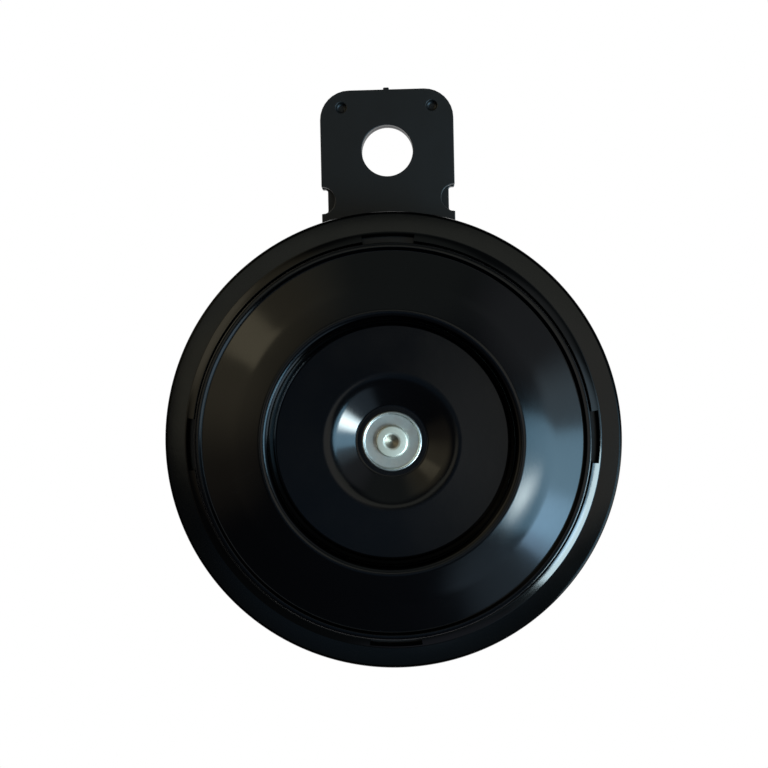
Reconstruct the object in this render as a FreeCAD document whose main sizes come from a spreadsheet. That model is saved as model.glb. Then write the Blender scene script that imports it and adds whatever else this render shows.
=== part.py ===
import FreeCAD, Part
import math
import os
import Sketcher

# Electric disc horn on a two-leaf spring bracket.
#
# Row frame: +Z up, the horn faces -Y, and the origin is the centre of the bracket's bolt hole on the
# tab's rear face. Every piece is drawn in the horn's own frame: local +Z points forward out of the
# horn, local +Y points up, and the origin is on the horn's axis at the front face of the crimped ring.
# A forward distance below zero therefore lies behind the ring's front face.

# Driving dimensions, in millimetres and degrees.
SIZES = {
    # where the horn hangs on its bracket
    "hole_above_rim": 13.9,         # top of the ring up to the bolt hole's centre
    "tab_setback": 10.0,            # ring's front face back to the tab's front face
    # crimped front ring
    "rim_radius": 45.0,
    "rim_sheet": 0.9,
    "rim_corner": 1.3,
    "ring_face_width": 4.1,
    "lip_run": 1.7,
    "lip_rise": 0.95,
    "hem_width": 3.2,
    "notch_length": 10.4,
    "notch_margin": 0.3,            # notch's root in from the lip's foot
    "notch_count": 4,
    "lip_corner": 0.4,
    "crimp_clearance": 0.45,
    # what the ring clamps
    "gasket_thickness": 0.4,
    "gasket_margin": 0.1,           # front gasket's bore out from the lip's foot
    "diaphragm_sheet": 0.4,
    "diaphragm_bead_inset": 6.0,    # bead's middle in from the chamber's wall
    "diaphragm_bead_width": 5.0,
    "diaphragm_bead_depth": 0.8,
    # housing, drawn in one piece from sheet
    "housing_sheet": 1.2,
    "flange_width": 8.0,            # rim in to the chamber's wall
    "chamber_taper": 1.2,
    "chamber_depth": 6.5,
    "pot_taper": 0.6,
    "pot_depth": 18.4,
    "housing_corner": 1.6,
    # tone disc, pressed from sheet
    "disc_sheet": 1.0,
    "disc_gap": 0.8,                # disc's edge in from the lip's tip
    "disc_rim_height": 4.1,
    "disc_rim_width": 1.0,
    "disc_valley_run": 2.25,         # edge in to the valley
    "disc_valley_height": 3.3,
    "disc_annulus_run": 5.85,        # valley in to the middle of the coned annulus
    "disc_mid_height": 5.8,
    "disc_crown_run": 6.9,          # middle of the annulus in to the crown
    "disc_crown_height": 7.6,
    "disc_wall_run": 0.6,           # crown in to the floor's edge
    "disc_floor_height": 3.0,
    "disc_seat_radius": 7.05,
    "disc_funnel_run": 5.05,         # seat out to the funnel's mouth
    "disc_seat_height": 0.8,
    "disc_seat_corner": 1.6,
    "disc_funnel_corner": 7.5,
    "disc_floor_corner": 0.9,
    "disc_crown_corner": 2.0,
    "disc_annulus_corner": 24.0,
    "disc_valley_corner": 1.3,
    "disc_rim_corner": 1.4,
    # hub: stud, spacer and washers
    "stud_radius": 2.5,
    "hub_clearance": 0.05,
    "spacer_radius": 7.0,
    "disc_washer_radius": 5.85,
    "disc_washer_thickness": 1.2,
    "disc_washer_dish": 0.35,
    "swage_radius": 3.15,
    "swage_height": 1.1,
    "swage_corner": 0.5,
    "punch_radius": 1.6,
    "punch_depth": 0.7,
    "armature_washer_thickness": 1.2,
    # magnet
    "core_share": 0.32,             # core's radius for one of the pot
    "armature_depth": 18.0,         # ring's front face back to the armature's rear end
    "air_gap": 0.7,
    "bobbin_clearance": 0.35,
    "bobbin_wall": 1.2,
    "bobbin_inset": 1.0,            # bobbin's flange in from the pot's wall
    "winding_share": 0.69,          # part of the bobbin's depth that the wire fills
    "retainer_sheet": 1.0,
    "retainer_drop": 0.48,          # shoulder's front face back to the retainer
    "pot_clearance": 0.1,
    # contact breaker
    "collar_wall": 2.2,
    "breaker_margin": 0.8,          # contact stack shorter than the shoulder's flat
    "breaker_block_width": 7.0,
    "lower_insulator": 1.0,
    "leaf_thickness": 0.4,
    "leaf_width": 5.0,
    "middle_insulator": 1.6,
    "contact_arm_sheet": 0.8,
    "contact_arm_corner": 1.0,
    "upper_insulator": 0.6,
    "contact_radius": 1.5,
    "contact_run": 7.8,             # collar out to the contacts
    "breaker_rivet_radius": 0.8,
    "breaker_rivet_pitch": 2.9,
    "insulator_sleeve": 0.5,
    "adjuster_gap": 0.8,            # contact stack to the screw's nut
    "adjuster_radius": 2.0,
    "adjuster_nut_radius": 3.2,
    "adjuster_nut_height": 1.8,
    "adjuster_tail": 3.0,
    "adjuster_slot": 0.7,
    # terminals
    "terminal_angle": 13.0,
    "terminal_block_angle": 50.0,
    "terminal_block_margin": 0.2,   # blocks narrower than the shoulder's flat
    "outer_block_thickness": 2.2,
    "inner_block_thickness": 1.4,
    "blade_width": 6.3,
    "blade_sheet": 0.8,
    "blade_length": 9.0,
    "blade_bend": 0.5,
    "blade_hole_radius": 0.9,
    "blade_hole_distance": 3.4,     # from the blade's end
    "blade_tip_chamfer": 1.0,
    "terminal_foot_inner": 2.2,
    "terminal_foot_outer": 3.4,
    "terminal_rivet_radius": 1.3,
    "terminal_rivet_head": 1.9,
    "terminal_rivet_head_height": 0.8,
    "terminal_sleeve_radius": 2.2,
    # rear stud and its fastening
    "rear_stud_radius": 4.0,
    "rear_stud_tail": 2.5,
    "rear_stud_chamfer": 0.7,
    "lock_washer_radius": 7.1,
    "lock_washer_thickness": 1.8,
    "lock_washer_turn": 350.0,
    "nut_across_flats": 13.0,
    "nut_height": 6.5,
    "nut_chamfer": 0.7,
    # bracket
    "bracket_sheet": 1.5,
    "bracket_width": 27.4,
    "bracket_tail": 13.0,
    "bracket_tail_corner": 9.0,
    "bracket_bend_radius": 3.0,
    "bracket_bend_clearance": 5.0,  # pot's edge up to the lower bend
    "bracket_joggle_rise": 11.5,    # lower bend up to the upper bend
    "bracket_stud_clearance": 0.2,
    "tab_rise": 12.5,
    "tab_corner": 6.0,
    "bolt_hole_radius": 5.25,
    "clinch_across": 9.3,
    "clinch_up": 9.0,
    "clinch_radius": 1.1,
    "clinch_depth": 0.9,
    "clinch_wall": 0.15,
    "clinch_button_radius": 1.7,
    "clinch_button_height": 0.6,
    "neck_drop": 9.9,
    "neck_half_height": 2.5,
    "rear_neck_depth": 1.2,
    "front_neck_radius": 2.8,
    "neck_corner": 0.6,
    "nib_width": 1.2,
    "nib_height": 0.4,
    "nib_corner": 0.3,
}

document = FreeCAD.newDocument("disc_horn")
sheet = document.addObject("Spreadsheet::Sheet", "Sizes")
for row, (alias, number) in enumerate(SIZES.items(), start=1):
    sheet.set(f"A{row}", alias)
    sheet.set(f"B{row}", str(number))
    sheet.setAlias(f"B{row}", alias)
document.recompute()


class Length:
    """A length as its number together with the sheet formula that gives it."""

    def __init__(self, number, formula):
        self.number = number
        self.formula = formula

    def __add__(self, other):
        other = length(other)
        return Length(self.number + other.number, f"({self.formula} + {other.formula})")

    def __sub__(self, other):
        other = length(other)
        return Length(self.number - other.number, f"({self.formula} - {other.formula})")

    def __mul__(self, factor):
        factor = length(factor)
        return Length(self.number * factor.number, f"({self.formula} * {factor.formula})")

    def __truediv__(self, divisor):
        divisor = length(divisor)
        return Length(self.number / divisor.number, f"({self.formula} / {divisor.formula})")

    def __neg__(self):
        return Length(-self.number, f"(-{self.formula})")


def length(value):
    """A plain number becomes a length with itself as its formula."""
    if isinstance(value, Length):
        return value
    return Length(float(value), f"({float(value)!r})")


def size(alias):
    """One driving dimension from the sheet."""
    return Length(float(sheet.get(alias)), f"Sizes.{alias}")


def hypotenuse(across, along):
    """Length of the slant whose two legs are given."""
    return Length(math.hypot(across.number, along.number),
                  f"sqrt({across.formula} ^ 2 + {along.formula} ^ 2)")


def remaining_leg(slant, leg):
    """The other leg of a right triangle whose slant and one leg are given."""
    return Length(math.sqrt(slant.number ** 2 - leg.number ** 2),
                  f"sqrt({slant.formula} ^ 2 - {leg.formula} ^ 2)")


ZERO = length(0)
FULL_TURN = length(360)
QUARTER_TURN = FULL_TURN / 4
# the sketcher's numbers for a line's or arc's points, and for the sketch's own origin
START, END, CENTRE = range(1, 4)
ORIGIN_POINT = (-1, START)


def new_body(name, turned_by=0.0):
    """An empty piece, standing in the horn's frame; turned_by swings it about the horn's axis."""
    body = document.addObject("PartDesign::Body", name)
    body.Label = name
    forward_to_front = FreeCAD.Rotation(FreeCAD.Vector(1, 0, 0), 90)
    swing = FreeCAD.Rotation(FreeCAD.Vector(0, 0, 1), turned_by)
    body.Placement = FreeCAD.Placement(FreeCAD.Vector(), forward_to_front.multiply(swing))
    front_back = -(size("tab_setback") + size("bracket_sheet") * 2)
    body.setExpression("Placement.Base.y", front_back.formula)
    body.setExpression("Placement.Base.z", (-axis_drop).formula)
    return body


def new_sketch(body, role, lift=ZERO):
    """A sketch on one of the piece's own planes, lifted along that plane's normal."""
    sketch = body.newObject("Sketcher::SketchObject", f"{body.Label}_sketch")
    plane = next(item for item in body.Origin.OriginFeatures if item.Role == role)
    sketch.AttachmentSupport = (plane, [""])
    sketch.MapMode = "FlatFace"
    sketch.AttachmentOffset = FreeCAD.Placement(FreeCAD.Vector(0, 0, lift.number), FreeCAD.Rotation())
    sketch.setExpression("AttachmentOffset.Base.z", lift.formula)
    return sketch


def swing_sketch(sketch, angle):
    """Turns an upright sketch about the horn's axis, which is its own upright axis."""
    upright = FreeCAD.Vector(0, 1, 0)
    sketch.AttachmentOffset = FreeCAD.Placement(FreeCAD.Vector(), FreeCAD.Rotation(upright, angle.number))
    sketch.setExpression("AttachmentOffset.Rotation.Angle", angle.formula)


def fix_point(sketch, geometry, position, across, up):
    """Holds one point of a sketch at two lengths from the sketch's origin."""
    for kind, distance in (("DistanceX", across), ("DistanceY", up)):
        number = sketch.addConstraint(
            Sketcher.Constraint(kind, *ORIGIN_POINT, geometry, position, distance.number))
        sketch.setExpression(f"Constraints[{number}]", distance.formula)


def fix_radius(sketch, geometry, radius):
    number = sketch.addConstraint(Sketcher.Constraint("Radius", geometry, radius.number))
    sketch.setExpression(f"Constraints[{number}]", radius.formula)


def rounded_corner(before, corner, after, radius):
    """Where an arc of this radius leaves and meets the two sides of a corner, and its centre."""
    arriving = (corner - before).normalize()
    leaving = (after - corner).normalize()
    turn = math.atan2(arriving.cross(leaving).z, arriving.dot(leaving))
    setback = radius * math.tan(abs(turn) / 2)
    side = 1 if turn > 0 else -1
    first = corner - arriving * setback
    last = corner + leaving * setback
    centre = first + FreeCAD.Vector(-arriving.y, arriving.x, 0) * (side * radius)
    return first, last, centre, side


def add_arc(sketch, first, last, centre, side):
    """An arc from first to last; returns it with the positions of its first and last points."""
    begin, finish = (first, last) if side > 0 else (last, first)
    circle = Part.Circle(centre, FreeCAD.Vector(0, 0, 1), (begin - centre).Length)
    angles = [math.atan2(point.y - centre.y, point.x - centre.x) for point in (begin, finish)]
    arc = sketch.addGeometry(Part.ArcOfCircle(circle, *angles))
    return (arc, START, END) if side > 0 else (arc, END, START)


def flat_point(corner):
    return FreeCAD.Vector(corner[0].number, corner[1].number, 0)


def as_corner(corner):
    """Every corner as two lengths and a radius, which is None where the corner is sharp."""
    values = [length(value) for value in corner]
    return (values[0], values[1], values[2] if len(values) > 2 else None)


def add_chain(sketch, corners, closed):
    """Straight sides with rounded corners; returns the sides and the arcs that were drawn."""
    corners = [as_corner(corner) for corner in corners]
    points = [flat_point(corner) for corner in corners]
    count = len(corners)
    leaves, meets, bends = list(points), list(points), {}
    for index, (_, _, radius) in enumerate(corners):
        if radius is not None:
            first, last, centre, side = rounded_corner(
                points[index - 1], points[index], points[(index + 1) % count], radius.number)
            meets[index], leaves[index] = first, last
            bends[index] = (centre, side, radius)
    side_count = count if closed else count - 1
    sides = [sketch.addGeometry(Part.LineSegment(leaves[index], meets[(index + 1) % count]))
             for index in range(side_count)]
    arcs = []
    for index, (across, up, _) in enumerate(corners):
        has_before = closed or index > 0
        if index in bends:
            centre, side, radius = bends[index]
            arc, first, last = add_arc(sketch, meets[index], leaves[index], centre, side)
            corner_point = sketch.addGeometry(Part.Point(points[index]), True)
            sketch.addConstraint([
                Sketcher.Constraint("PointOnObject", corner_point, START, sides[index - 1]),
                Sketcher.Constraint("PointOnObject", corner_point, START, sides[index]),
                Sketcher.Constraint("Tangent", sides[index - 1], END, arc, first),
                Sketcher.Constraint("Tangent", arc, last, sides[index], START)])
            fix_radius(sketch, arc, radius)
            fix_point(sketch, corner_point, START, across, up)
            arcs.append((arc, side, radius))
        elif index < side_count:
            if has_before:
                sketch.addConstraint(
                    Sketcher.Constraint("Coincident", sides[index - 1], END, sides[index], START))
            fix_point(sketch, sides[index], START, across, up)
        else:
            fix_point(sketch, sides[index - 1], END, across, up)
    return sides, arcs


def add_outline(sketch, corners):
    """A closed outline; a corner is (across, up) or (across, up, corner radius)."""
    add_chain(sketch, corners, closed=True)


def add_sheet(sketch, path, thickness):
    """The section of a bent sheet: one face follows the path, the other lies to its right."""
    sides, arcs = add_chain(sketch, path, closed=False)
    other_sides = []
    for line in sides:
        drawn = sketch.Geometry[line]
        along = (drawn.EndPoint - drawn.StartPoint).normalize()
        away = FreeCAD.Vector(along.y, -along.x, 0) * thickness.number
        other_sides.append(
            sketch.addGeometry(Part.LineSegment(drawn.StartPoint + away, drawn.EndPoint + away)))
    for index, (arc, bend_side, radius) in enumerate(arcs):
        first_point = sketch.Geometry[other_sides[index]].EndPoint
        last_point = sketch.Geometry[other_sides[index + 1]].StartPoint
        centre = sketch.Geometry[arc].Center
        other, first, last = add_arc(sketch, first_point, last_point, centre, bend_side)
        sketch.addConstraint([
            Sketcher.Constraint("Coincident", arc, CENTRE, other, CENTRE),
            Sketcher.Constraint("Tangent", other_sides[index], END, other, first),
            Sketcher.Constraint("Tangent", other, last, other_sides[index + 1], START)])
        fix_radius(sketch, other, radius + thickness * bend_side)
    for line, other, position in ((sides[0], other_sides[0], START), (sides[-1], other_sides[-1], END)):
        ends = [sketch.getPoint(line, position), sketch.getPoint(other, position)]
        cap = sketch.addGeometry(Part.LineSegment(*ends))
        sketch.addConstraint([
            Sketcher.Constraint("Coincident", line, position, cap, START),
            Sketcher.Constraint("Coincident", other, position, cap, END),
            Sketcher.Constraint("Perpendicular", line, cap)])
        if line == sides[0]:
            number = sketch.addConstraint(
                Sketcher.Constraint("Distance", cap, thickness.number))
            sketch.setExpression(f"Constraints[{number}]", thickness.formula)


def add_circle(sketch, across, up, radius):
    across, up, radius = length(across), length(up), length(radius)
    centre = FreeCAD.Vector(across.number, up.number, 0)
    circle = sketch.addGeometry(Part.Circle(centre, FreeCAD.Vector(0, 0, 1), radius.number))
    fix_point(sketch, circle, CENTRE, across, up)
    fix_radius(sketch, circle, radius)


def add_feature(body, kind, sketch, cuts=False, **bound):
    """A feature made from a sketch; its bound properties follow the sheet."""
    document.recompute()
    before = 0.0 if body.Shape.isNull() else body.Shape.Volume
    feature = body.newObject(f"PartDesign::{kind}", f"{body.Label}_{kind.lower()}")
    feature.Profile = sketch
    if kind in ("Revolution", "Groove"):
        feature.ReferenceAxis = (sketch, ["V_Axis"])
    for name, value in bound.items():
        setattr(feature, name, value.number)
        feature.setExpression(name, value.formula)
    document.recompute()
    changed = body.Shape.Volume - before
    if changed * (-1 if cuts else 1) <= 0:
        raise RuntimeError(f"{feature.Label} changed the volume by {changed:.4f}")
    return feature


def turned(name, corners, angle=FULL_TURN):
    """A piece turned about the horn's axis; its outline is given as (radius, forward)."""
    body = new_body(name)
    sketch = new_sketch(body, "XZ_Plane")
    add_outline(sketch, corners)
    add_feature(body, "Revolution", sketch, Angle=angle)
    return body


def turned_sheet(name, path, thickness):
    """A piece of sheet pressed to the shape of a path that is turned about the horn's axis."""
    body = new_body(name)
    sketch = new_sketch(body, "XZ_Plane")
    add_sheet(sketch, path, thickness)
    add_feature(body, "Revolution", sketch, Angle=FULL_TURN)
    return body


def ring(name, inner, outer, front, thickness):
    """A flat washer or gasket."""
    rear = front - thickness
    return turned(name, [(inner, rear), (outer, rear), (outer, front), (inner, front)])


def pad_circles(body, circles, rear, thickness):
    """Round bosses from a rear plane forward; a circle is (across, up, radius)."""
    sketch = new_sketch(body, "XY_Plane", rear)
    for circle in circles:
        add_circle(sketch, *circle)
    add_feature(body, "Pad", sketch, Length=thickness)


def pad_outline(body, corners, rear, thickness):
    sketch = new_sketch(body, "XY_Plane", rear)
    add_outline(sketch, corners)
    add_feature(body, "Pad", sketch, Length=thickness)


def pocket_circles(body, circles, front, depth):
    """Round holes cut from a front plane back."""
    sketch = new_sketch(body, "XY_Plane", front)
    for circle in circles:
        add_circle(sketch, *circle)
    add_feature(body, "Pocket", sketch, cuts=True, Length=depth)


def pocket_outline(body, corners, front, depth):
    sketch = new_sketch(body, "XY_Plane", front)
    add_outline(sketch, corners)
    return add_feature(body, "Pocket", sketch, cuts=True, Length=depth)


def box_outline(across, up, width, height):
    """The four corners of a rectangle about its centre."""
    half_width, half_height = width / 2, height / 2
    return [(across - half_width, up - half_height), (across + half_width, up - half_height),
            (across + half_width, up + half_height), (across - half_width, up + half_height)]


# Radii of the clamped front, from the rim in.
lip_foot_radius = size("rim_radius") - size("ring_face_width")
lip_tip_radius = lip_foot_radius - size("lip_run")
stack_radius = size("rim_radius") - size("rim_sheet") - size("crimp_clearance")
chamber_radius = size("rim_radius") - size("flange_width")

# Radii of the shoulder: its flat is as wide as the adjusting screw's nut, between the two corners.
outside_corner = size("housing_corner") + size("housing_sheet")
shoulder_flat = size("adjuster_nut_radius") * 2
shoulder_middle = (chamber_radius - size("chamber_taper") - size("housing_corner")
                   - size("adjuster_nut_radius"))
pot_radius = shoulder_middle - size("adjuster_nut_radius") - outside_corner
core_radius = pot_radius * size("core_share")
axis_drop = size("rim_radius") + size("hole_above_rim")

# Planes of the clamped stack, from the ring's front face back.
rim_rear_face = -size("rim_sheet")
diaphragm_front = rim_rear_face - size("gasket_thickness")
diaphragm_rear = diaphragm_front - size("diaphragm_sheet")
flange_front = diaphragm_rear - size("gasket_thickness")
flange_rear = flange_front - size("housing_sheet")
hem_rear = flange_rear - size("rim_sheet")

# Planes of the housing.
shoulder_front = flange_front - size("chamber_depth")
shoulder_rear = shoulder_front - size("housing_sheet")
pot_front = shoulder_front - size("pot_depth")
pot_rear = pot_front - size("housing_sheet")

# Planes of the hub.
hub_bore = size("stud_radius") + size("hub_clearance")
seat_front = size("disc_seat_height")
seat_rear = seat_front - size("disc_sheet")


def build_clamp_ring():
    """Ring of thin sheet: raised inner lip, flat face, side wall and hem crimped behind the flange."""
    body = turned_sheet("clamp_ring", [
        (lip_tip_radius, size("lip_rise")),
        (lip_foot_radius, ZERO, size("lip_corner")),
        (size("rim_radius"), ZERO, size("rim_corner")),
        (size("rim_radius"), hem_rear, size("rim_corner")),
        (size("rim_radius") - size("hem_width"), hem_rear)], size("rim_sheet"))
    # one notch through the lip, then its copies round the ring
    cut_top = size("lip_rise") * 2
    half = size("notch_length") / 2
    inside = lip_tip_radius - size("ring_face_width")
    root = lip_foot_radius - size("notch_margin")
    sketch = new_sketch(body, "XY_Plane", cut_top)
    add_outline(sketch, [(-half, inside), (half, inside), (half, root), (-half, root)])
    notch = add_feature(body, "Pocket", sketch, cuts=True, Length=cut_top - rim_rear_face * 2)
    pattern = body.newObject("PartDesign::PolarPattern", "clamp_ring_notches")
    pattern.Originals = [notch]
    pattern.Axis = (sketch, ["N_Axis"])
    pattern.Angle = FULL_TURN.number
    pattern.Occurrences = int(size("notch_count").number)
    pattern.setExpression("Occurrences", size("notch_count").formula)
    body.Tip = pattern


def build_stack():
    """Gaskets and the springy diaphragm with its stiffening bead."""
    ring("front_gasket", lip_foot_radius + size("gasket_margin"), stack_radius, rim_rear_face,
         size("gasket_thickness"))
    ring("rear_gasket", chamber_radius + size("housing_corner"), stack_radius, diaphragm_rear,
         size("gasket_thickness"))
    bead = chamber_radius - size("diaphragm_bead_inset")
    reach = size("diaphragm_bead_width") / 2
    shoulder = size("diaphragm_bead_width") / 5
    bottom = diaphragm_front - size("diaphragm_bead_depth")
    bend = size("diaphragm_sheet") * 2
    turned_sheet("diaphragm", [
        (hub_bore, diaphragm_front),
        (bead - reach, diaphragm_front, bend),
        (bead - shoulder, bottom, bend),
        (bead + shoulder, bottom, bend),
        (bead + reach, diaphragm_front, bend),
        (stack_radius, diaphragm_front)], size("diaphragm_sheet"))


def terminal_centre(side):
    """Middle of a terminal's foot, swung to the left or right of the lowest point."""
    angle = math.radians(float(sheet.get("terminal_angle")))
    spread = shoulder_middle * Length(math.sin(angle), "sin(Sizes.terminal_angle * 1 deg)")
    drop = shoulder_middle * Length(math.cos(angle), "cos(Sizes.terminal_angle * 1 deg)")
    return (spread * side, -drop)


def breaker_rivets():
    """Centres of the two rivets that hold the contact stack."""
    half = size("breaker_rivet_pitch") / 2
    return [(shoulder_middle - half, ZERO), (shoulder_middle + half, ZERO)]


def adjuster_centre():
    """Centre of the adjusting screw, beside the contact stack on the shoulder's middle circle."""
    offset = size("breaker_block_width") / 2 + size("adjuster_gap") + size("adjuster_nut_radius")
    return (remaining_leg(shoulder_middle, offset), offset)


def build_housing():
    """Drawn can: clamping flange, shallow contact chamber, deep coil pot."""
    corner = size("housing_corner")
    body = turned_sheet("housing", [
        (size("rear_stud_radius") + size("hub_clearance"), pot_front),
        (pot_radius - size("pot_taper"), pot_front, corner),
        (pot_radius, shoulder_front, outside_corner),
        (chamber_radius - size("chamber_taper"), shoulder_front, corner),
        (chamber_radius, flange_front, outside_corner),
        (stack_radius, flange_front)], size("housing_sheet"))
    sleeve = size("terminal_sleeve_radius") + size("hub_clearance")
    holes = [(*terminal_centre(side), sleeve) for side in (-1, 1)]
    holes += [(*centre, size("breaker_rivet_radius")) for centre in breaker_rivets()]
    holes += [(*adjuster_centre(), size("adjuster_radius"))]
    pocket_circles(body, holes, shoulder_front + size("housing_sheet"), size("housing_sheet") * 3)


def build_tone_disc():
    """Pressed disc: upturned edge, coned annulus, crown, recessed floor and funnel to the hub."""
    edge = lip_tip_radius - size("disc_gap")
    valley = edge - size("disc_valley_run")
    annulus = valley - size("disc_annulus_run")
    crown = annulus - size("disc_crown_run")
    floor = crown - size("disc_wall_run")
    mouth = size("disc_seat_radius") + size("disc_funnel_run")
    turned_sheet("tone_disc", [
        (hub_bore, seat_front),
        (size("disc_seat_radius"), seat_front, size("disc_seat_corner")),
        (mouth, size("disc_floor_height"), size("disc_funnel_corner")),
        (floor, size("disc_floor_height"), size("disc_floor_corner")),
        (crown, size("disc_crown_height"), size("disc_crown_corner")),
        (annulus, size("disc_mid_height"), size("disc_annulus_corner")),
        (valley, size("disc_valley_height"), size("disc_valley_corner")),
        (edge - size("disc_rim_width"), size("disc_rim_height"), size("disc_rim_corner")),
        (edge, size("disc_rim_height"))], size("disc_sheet"))


def build_hub():
    """Spacer under the disc, dished washer on it, and the washer behind the diaphragm."""
    ring("hub_spacer", hub_bore, size("spacer_radius"), seat_rear, seat_rear - diaphragm_front)
    washer_top = seat_front + size("disc_washer_thickness")
    dish = size("disc_washer_dish")
    outer = size("disc_washer_radius")
    turned("tone_disc_washer", [
        (hub_bore, seat_front),
        (outer, seat_front, dish),
        (outer, washer_top, dish),
        (outer - dish * 2, washer_top, dish),
        (outer - dish * 4, washer_top - dish, dish),
        (hub_bore, washer_top - dish)])
    ring("armature_washer", hub_bore, size("spacer_radius"), diaphragm_rear,
         size("armature_washer_thickness"))


armature_front = diaphragm_rear - size("armature_washer_thickness")
leaf_rear = shoulder_front + size("lower_insulator")
leaf_front = leaf_rear + size("leaf_thickness")
arm_rear = leaf_front + size("middle_insulator")
arm_front = arm_rear + size("contact_arm_sheet")


def build_magnet():
    """Armature with its riveted stud, fixed core with the rear stud, bobbin, winding and retainer."""
    head_rear = seat_front + size("disc_washer_thickness") - size("disc_washer_dish")
    head_front = head_rear + size("swage_height")
    swage = size("swage_radius")
    turned("armature", [
        (ZERO, -size("armature_depth")),
        (core_radius, -size("armature_depth")),
        (core_radius, armature_front),
        (size("stud_radius"), armature_front),
        (size("stud_radius"), head_rear),
        (swage, head_rear),
        (swage, head_front, size("swage_corner")),
        (size("punch_radius"), head_front),
        (ZERO, head_front - size("punch_depth"))])
    core_front = -(size("armature_depth") + size("air_gap"))
    stud_end = bracket_rear - size("lock_washer_thickness") - size("nut_height") - size("rear_stud_tail")
    chamfer = size("rear_stud_chamfer")
    turned("fixed_core", [
        (ZERO, stud_end),
        (size("rear_stud_radius") - chamfer, stud_end),
        (size("rear_stud_radius"), stud_end + chamfer),
        (size("rear_stud_radius"), pot_front),
        (core_radius, pot_front),
        (core_radius, core_front),
        (ZERO, core_front)])
    retainer_front = shoulder_front - size("retainer_drop")
    bobbin_front = retainer_front - size("retainer_sheet")
    tube = core_radius + size("bobbin_clearance")
    wall = size("bobbin_wall")
    flange = pot_radius - size("bobbin_inset")
    wire = tube + wall + (flange - tube - wall) * size("winding_share")
    turned("coil_bobbin", [
        (tube, pot_front),
        (flange - size("housing_corner"), pot_front),
        (flange - size("housing_corner"), pot_front + wall),
        (tube + wall, pot_front + wall),
        (tube + wall, bobbin_front - wall),
        (flange, bobbin_front - wall),
        (flange, bobbin_front),
        (tube, bobbin_front)])
    turned("coil_winding", [
        (tube + wall, pot_front + wall),
        (wire - wall, pot_front + wall),
        (wire, pot_front + wall * 2),
        (wire, bobbin_front - wall * 2),
        (wire - wall, bobbin_front - wall),
        (tube + wall, bobbin_front - wall)])
    ring("coil_retainer", tube, pot_radius - size("pot_clearance") * 2,
         retainer_front, size("retainer_sheet"))
    collar_inner = core_radius
    ring("armature_collar", collar_inner, collar_inner + size("collar_wall"),
         armature_front, armature_front - leaf_front)


def build_breaker():
    """Contact stack: insulator, springy leaf, insulator, stiff arm, insulator and two rivets."""
    centre = shoulder_middle
    span = shoulder_flat - size("breaker_margin")
    width = size("breaker_block_width")
    contact_across = core_radius + size("collar_wall") + size("contact_run")
    outer_end = centre + span / 2
    rivet_hole = size("breaker_rivet_radius")
    sleeve = rivet_hole + size("insulator_sleeve")

    lower = new_body("breaker_lower_insulator")
    pad_outline(lower, box_outline(centre, ZERO, span, width), shoulder_front, size("lower_insulator"))
    pocket_circles(lower, [(*place, rivet_hole) for place in breaker_rivets()], leaf_rear,
                   size("lower_insulator"))

    leaf = new_body("moving_contact_leaf")
    tip = core_radius + size("collar_wall") / 4
    pad_outline(leaf, box_outline((outer_end + tip) / 2, ZERO, outer_end - tip, size("leaf_width")),
                leaf_rear, size("leaf_thickness"))
    pocket_circles(leaf, [(*place, sleeve) for place in breaker_rivets()], leaf_front,
                   size("leaf_thickness"))

    middle = new_body("breaker_middle_insulator")
    pad_outline(middle, box_outline(centre, ZERO, span, width), leaf_front, size("middle_insulator"))
    pad_circles(middle, [(*place, sleeve) for place in breaker_rivets()], leaf_rear,
                arm_front - leaf_rear)
    pocket_circles(middle, [(*place, rivet_hole) for place in breaker_rivets()], arm_front,
                   arm_front - leaf_rear)

    arm = new_body("fixed_contact_arm")
    inner_end = contact_across - size("contact_radius") * 2
    half = width / 2
    screw_across, screw_up = adjuster_centre()
    ear_up = screw_up + size("adjuster_radius")
    ear_inner = screw_across - size("adjuster_radius")
    corner = size("contact_arm_corner")
    pad_outline(arm, [
        (inner_end, -half), (ear_inner, -half), (ear_inner, -ear_up, corner), (outer_end, -ear_up, corner),
        (outer_end, ear_up, corner), (ear_inner, ear_up, corner), (ear_inner, half), (inner_end, half)],
        arm_rear, size("contact_arm_sheet"))
    pocket_circles(arm, [(*place, sleeve) for place in breaker_rivets()], arm_front,
                   size("contact_arm_sheet"))

    upper = new_body("breaker_upper_insulator")
    pad_outline(upper, box_outline(centre, ZERO, span, width), arm_front, size("upper_insulator"))
    pocket_circles(upper, [(*place, rivet_hole) for place in breaker_rivets()],
                   arm_front + size("upper_insulator"), size("upper_insulator"))

    contact_height = size("middle_insulator") / 2
    contact = (contact_across, ZERO, size("contact_radius"))
    pad_circles(new_body("moving_contact"), [contact], leaf_front, contact_height)
    pad_circles(new_body("fixed_contact"), [contact], arm_rear - contact_height, contact_height)

    rivets = new_body("breaker_rivets")
    head = size("breaker_rivet_pitch") / 2 - size("hub_clearance")
    head_height = size("upper_insulator")
    stack_front = arm_front + size("upper_insulator")
    pad_circles(rivets, [(*place, rivet_hole) for place in breaker_rivets()],
                shoulder_rear, stack_front - shoulder_rear)
    pad_circles(rivets, [(*place, head) for place in breaker_rivets()], stack_front, head_height)
    pad_circles(rivets, [(*place, head) for place in breaker_rivets()],
                shoulder_rear - head_height, head_height)


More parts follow.
